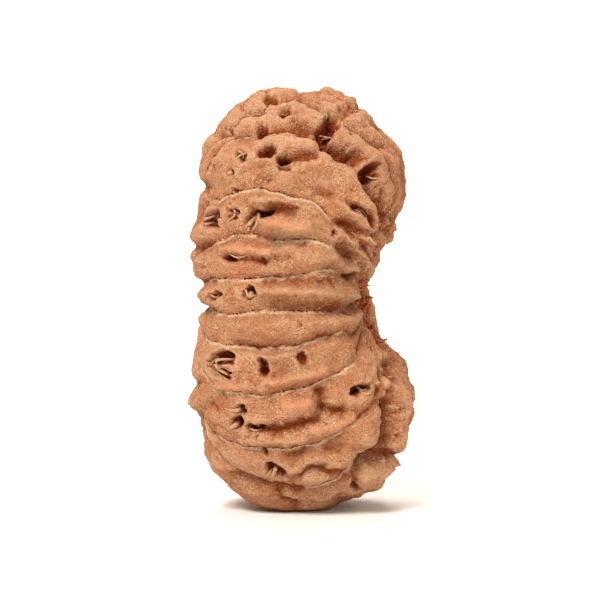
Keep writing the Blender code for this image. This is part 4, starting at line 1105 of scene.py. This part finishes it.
def grown_strands(shell, fact, count, growth):
    """Strands that grow from the shell where it keeps this fact most: paths, radii and tones."""
    seed, length, radius, lean, rise = growth
    draw = random.Random(seed)
    mesh = shell.data
    points, normals = mesh_array(mesh.vertices, "co", 3) / MM, mesh_array(mesh.vertices, "normal", 3)
    found = np.flatnonzero(mesh_array(mesh.attributes[fact].data, "value", 1)[:, 0] > ROOTED_ABOVE).tolist()
    paths, radii, tones = [], [], []
    for root in draw.sample(found, min(count, len(found))):
        sway = np.array([draw.gauss(0, lean) for _ in range(3)])
        turn = np.array([draw.gauss(0, GROWN_CURL) for _ in range(3)])
        run = sway + (rise * draw.random() - sway @ normals[root]) * normals[root]
        run *= length * draw.uniform(0.4, 1.3) / np.linalg.norm(run)
        along = np.linspace(0, 1, GROWN_PLACES)[:, None]
        reach = np.linalg.norm(run)
        paths.append(points[root] - ROOT_DEPTH * normals[root] + along * run + along**2 * turn * reach)
        radii.append(radius * draw.uniform(0.5, 1.5))
        tones.append(0.6 * draw.random())
    return paths, radii, tones


def tapered_strand(name, sides, rings):
    """A strand one unit thick and long, upright from the origin and cut into rings."""
    deselect_all()
    bpy.ops.mesh.primitive_cone_add(vertices=sides, radius1=1, radius2=STRAND_TIP, depth=1)
    strand = bpy.context.object
    strand.name = strand.data.name = name
    bpy.ops.object.mode_set(mode="EDIT")
    bpy.ops.mesh.select_mode(type="EDGE")
    bpy.ops.transform.translate(value=(0, 0, 0.5))
    select_edges(strand, lambda start, end: abs(start.z - end.z) > 0.5)
    bpy.ops.mesh.subdivide(number_cuts=rings - 1)
    bpy.ops.object.mode_set(mode="OBJECT")
    return strand


def bend_along(unit, path, radius):
    """The points of a unit strand, laid along a path of a few points."""
    stations = np.linspace(0, 1, len(path))
    along = unit[:, 2]
    middle, ahead, behind = (
        np.stack([smooth_table(np.clip(place, 0, 1), stations, path[:, axis]) for axis in range(3)], 1)
        for place in (along, along + 0.02, along - 0.02)
    )
    run = ahead - behind
    run /= np.linalg.norm(run, axis=1)[:, None]
    aside = np.cross(run, STRAND_SIDEWAYS)
    aside /= np.linalg.norm(aside, axis=1)[:, None]
    across = np.cross(aside, run)
    return middle + radius * (unit[:, :1] * aside + unit[:, 1:2] * across)


def put_copies(thing, copies, facts):
    """Gives a thing the mesh of all these copies of its own points."""
    unit = thing.data
    count = len(unit.vertices)
    faces = [tuple(face.vertices) for face in unit.polygons]
    mesh = bpy.data.meshes.new(thing.name)
    all_faces = [tuple(corner + k * count for corner in face) for k in range(len(copies)) for face in faces]
    mesh.from_pydata((np.concatenate(copies) * MM).tolist(), [], all_faces)
    for name, values in facts.items():
        keep_fact(mesh, name, values)
    thing.data = mesh
    bpy.data.meshes.remove(unit)
    mesh.name = thing.name


def put_strands(name, rings, paths, radii, tones, material):
    """Makes one piece of strands along these paths, on the shell."""
    strand = tapered_strand(name, STRAND_SIDES, rings)
    unit = mesh_array(strand.data.vertices, "co", 3)
    copies = [bend_along(unit, path, radius) for path, radius in zip(paths, radii)]
    facts = {"along": np.tile(unit[:, 2], len(copies)), "tone": np.repeat(tones, len(unit))}
    put_copies(strand, copies, facts)
    deselect_all()
    strand.select_set(True)
    bpy.ops.object.shade_smooth()
    strand.data.materials.append(material)
    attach(strand, "root")


def fibre_finish(name, root_colour, tip_colour):
    """Dry fibre, darker at its roots, no two strands quite alike."""
    finish = Finish(name)
    along, tone = finish.fact("along"), finish.fact("tone")
    pale = finish.step(along + 0.7 * (tone - 0.5), 0.0, 0.9)
    shade = finish.mix(pale, root_colour, tip_colour)
    streaks = finish.grain(0.08, 1.0)
    shade = finish.mix(0.35 * streaks, shade, root_colour)
    bumps = finish.node("ShaderNodeBump", None, {"Height": 0.05 * streaks, "Distance": MM})
    return finish.finish(base_color=shade, roughness=0.7 + 0.2 * streaks, normal=bumps)


class BEAD_OT_pit_fibres(bpy.types.Operator):
    """Model the dry fibre that stands in the pits"""

    bl_idname = "bead.pit_fibres"
    bl_label = "Pit fibres"

    def execute(self, context):
        shape, look = context.scene.bead_shape, context.scene.bead_finish
        shell, shift = bpy.data.objects["shell"], np.array(shape.plan_shift) / MM
        paths, radii, tones = grown_strands(shell, "sunk", shape.pit_strands, PIT_GROWTH)
        for place, (places, middle_lift, tip_lift, radius) in enumerate(STRANDS):
            paths.append(drawn_strand(shell, shift, places, middle_lift, tip_lift))
            radii.append(STRAND_SCALE * radius)
            tones.append(DRAWN_TONE + DRAWN_TONE_SPREAD * sin(place))
        material = fibre_finish("fibre_finish", look.core_colour, look.fibre_colour)
        put_strands("pit_fibres", PIT_RINGS, paths, radii, tones, material)
        return {"FINISHED"}


class BEAD_OT_pole_fibres(bpy.types.Operator):
    """Model the torn fibre at the two poles"""

    bl_idname = "bead.pole_fibres"
    bl_label = "Pole fibres"

    def execute(self, context):
        shape, look = context.scene.bead_shape, context.scene.bead_finish
        strands = grown_strands(bpy.data.objects["shell"], "torn", shape.core_strands, POLE_GROWTH)
        material = fibre_finish("core_finish", look.core_colour, look.torn_colour)
        put_strands("pole_fibres", POLE_RINGS, *strands, material)
        return {"FINISHED"}


class BEAD_OT_plugs(bpy.types.Operator):
    """Model the round plugs that sit in some of the pits"""

    bl_idname = "bead.plugs"
    bl_label = "Plugs"

    def execute(self, context):
        shape, look = context.scene.bead_shape, context.scene.bead_finish
        shell, shift = bpy.data.objects["shell"], np.array(shape.plan_shift) / MM
        deselect_all()
        bpy.ops.mesh.primitive_ico_sphere_add(subdivisions=3, radius=1)
        plugs = context.object
        plugs.name = plugs.data.name = "plugs"
        unit = mesh_array(plugs.data.vertices, "co", 3)
        size, rise = PLUG_LUMPS
        rough = 1 + rise * noise_at(unit, size, NOISE["plugs"])
        copies = []
        for place, radius in PLUGS:
            depth = line_of_sight(shell, shift, place) + PLUG_RISE * radius
            middle = view_points(*np.array([place]).T, np.array([depth]))[0] + shift
            copies.append(middle + radius * unit * rough[:, None])
        tones = np.full(len(unit) * len(copies), PLUG_TONE)
        facts = {"along": tones, "tone": tones}
        put_copies(plugs, copies, facts)
        bpy.ops.object.shade_smooth()
        plugs.data.materials.append(fibre_finish("plug_finish", look.core_colour, look.fibre_colour))
        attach(plugs, "root")
        return {"FINISHED"}


def pale_finish(name, tint):
    """Plain matt paper, a little uneven."""
    finish = Finish(name)
    cloudy = finish.grain(60.0)
    tone = finish.mix(0.06 * cloudy, tint, [0.9 * part for part in tint])
    return finish.finish(base_color=tone, roughness=0.85 + 0.1 * cloudy)


def sweep(name, size, depth, bend):
    """A floor that bends up into a backdrop this far behind the middle."""
    bpy.ops.mesh.primitive_plane_add(size=size)
    floor = bpy.context.object
    floor.name = floor.data.name = name
    select_edges(floor, lambda *ends: all(end.y > 0 for end in ends))
    bpy.ops.transform.translate(value=(0, depth - size / 2, 0))
    bpy.ops.mesh.extrude_region_move(TRANSFORM_OT_translate={"value": (0, 0, size / 2)})
    select_edges(floor, lambda *ends: all(abs(end.y - depth) < bend and end.z < bend for end in ends))
    bpy.ops.mesh.bevel(offset=bend, segments=16)
    bpy.ops.object.mode_set(mode="OBJECT")
    bpy.ops.object.shade_smooth()
    return floor


def soft_light(name, place, size, aim, power):
    bpy.ops.object.light_add(type="AREA", location=place)
    light = bpy.context.object
    light.name = light.data.name = name
    light.data.size, light.data.energy = size, power
    light.rotation_euler = (aim - Vector(place)).to_track_quat("-Z", "Y").to_euler()


class BEAD_OT_stage(bpy.types.Operator):
    """Lay the floor, hang the lights and set the camera"""

    bl_idname = "bead.stage"
    bl_label = "Stage"

    def execute(self, context):
        stage = context.scene.bead_stage
        deselect_all()
        floor = sweep("floor", FLOOR_SIZE, BACKDROP_DEPTH, BACKDROP_BEND)
        floor.data.materials.append(pale_finish("floor_finish", stage.floor_colour))

        aim = Vector(context.scene.bead_shape.plan_shift) + Vector((AIM_RIGHT, 0, AIM_HEIGHT)) * MM
        soft_light("key_light", *KEY_LIGHT, aim, stage.key_power)
        soft_light("fill_light", *FILL_LIGHT, aim, stage.fill_power)
        soft_light("backdrop_light", *BACKDROP_LIGHT, BACKDROP_AIM, stage.backdrop_power)
        world = bpy.data.worlds.new("air")
        world.use_nodes = True
        air = world.node_tree.nodes["Background"]
        air.inputs["Color"].default_value = AIR_COLOUR
        air.inputs["Strength"].default_value = stage.air_strength
        context.scene.world = world

        place = aim + stage.view_distance * Vector(TO_VIEWER)
        bpy.ops.object.camera_add(location=place, rotation=(pi / 2 - VIEW_TILT, 0, 0))
        camera = context.object
        camera.name = camera.data.name = "camera"
        camera.data.lens = camera.data.sensor_width * stage.view_distance / stage.view_width
        camera.data.clip_end = 10
        context.scene.camera = camera
        context.scene.view_settings.view_transform = "Standard"
        return {"FINISHED"}


OPERATORS = (BEAD_OT_shell, BEAD_OT_pit_fibres, BEAD_OT_plugs, BEAD_OT_pole_fibres, BEAD_OT_stage)


class BEAD_PT_sidebar(bpy.types.Panel):
    """The steps that make the bead, and its sizes and colours"""

    bl_label = "Rudraksha bead"
    bl_space_type = "VIEW_3D"
    bl_region_type = "UI"
    bl_category = "Bead"

    def draw(self, context):
        for step in OPERATORS:
            self.layout.operator(step.bl_idname)
        scene = context.scene
        for group in (scene.bead_shape, scene.bead_finish, scene.bead_stage):
            for name in group.bl_rna.properties.keys():
                if name not in ("rna_type", "name"):
                    self.layout.prop(group, name)


GROUPS = {"bead_shape": BeadShape, "bead_finish": BeadFinish, "bead_stage": BeadStage}


def register():
    for group in (*GROUPS.values(), *OPERATORS, BEAD_PT_sidebar):
        bpy.utils.register_class(group)
    for name, group in GROUPS.items():
        setattr(bpy.types.Scene, name, bpy.props.PointerProperty(type=group))


def unregister():
    for name in GROUPS:
        delattr(bpy.types.Scene, name)
    for group in (BEAD_PT_sidebar, *OPERATORS, *GROUPS.values()):
        bpy.utils.unregister_class(group)


def main():
    register()
    bpy.ops.bead.shell()
    bpy.ops.bead.pit_fibres()
    bpy.ops.bead.plugs()
    bpy.ops.bead.pole_fibres()
    bpy.ops.bead.stage()


if __name__ == "__main__":
    main()
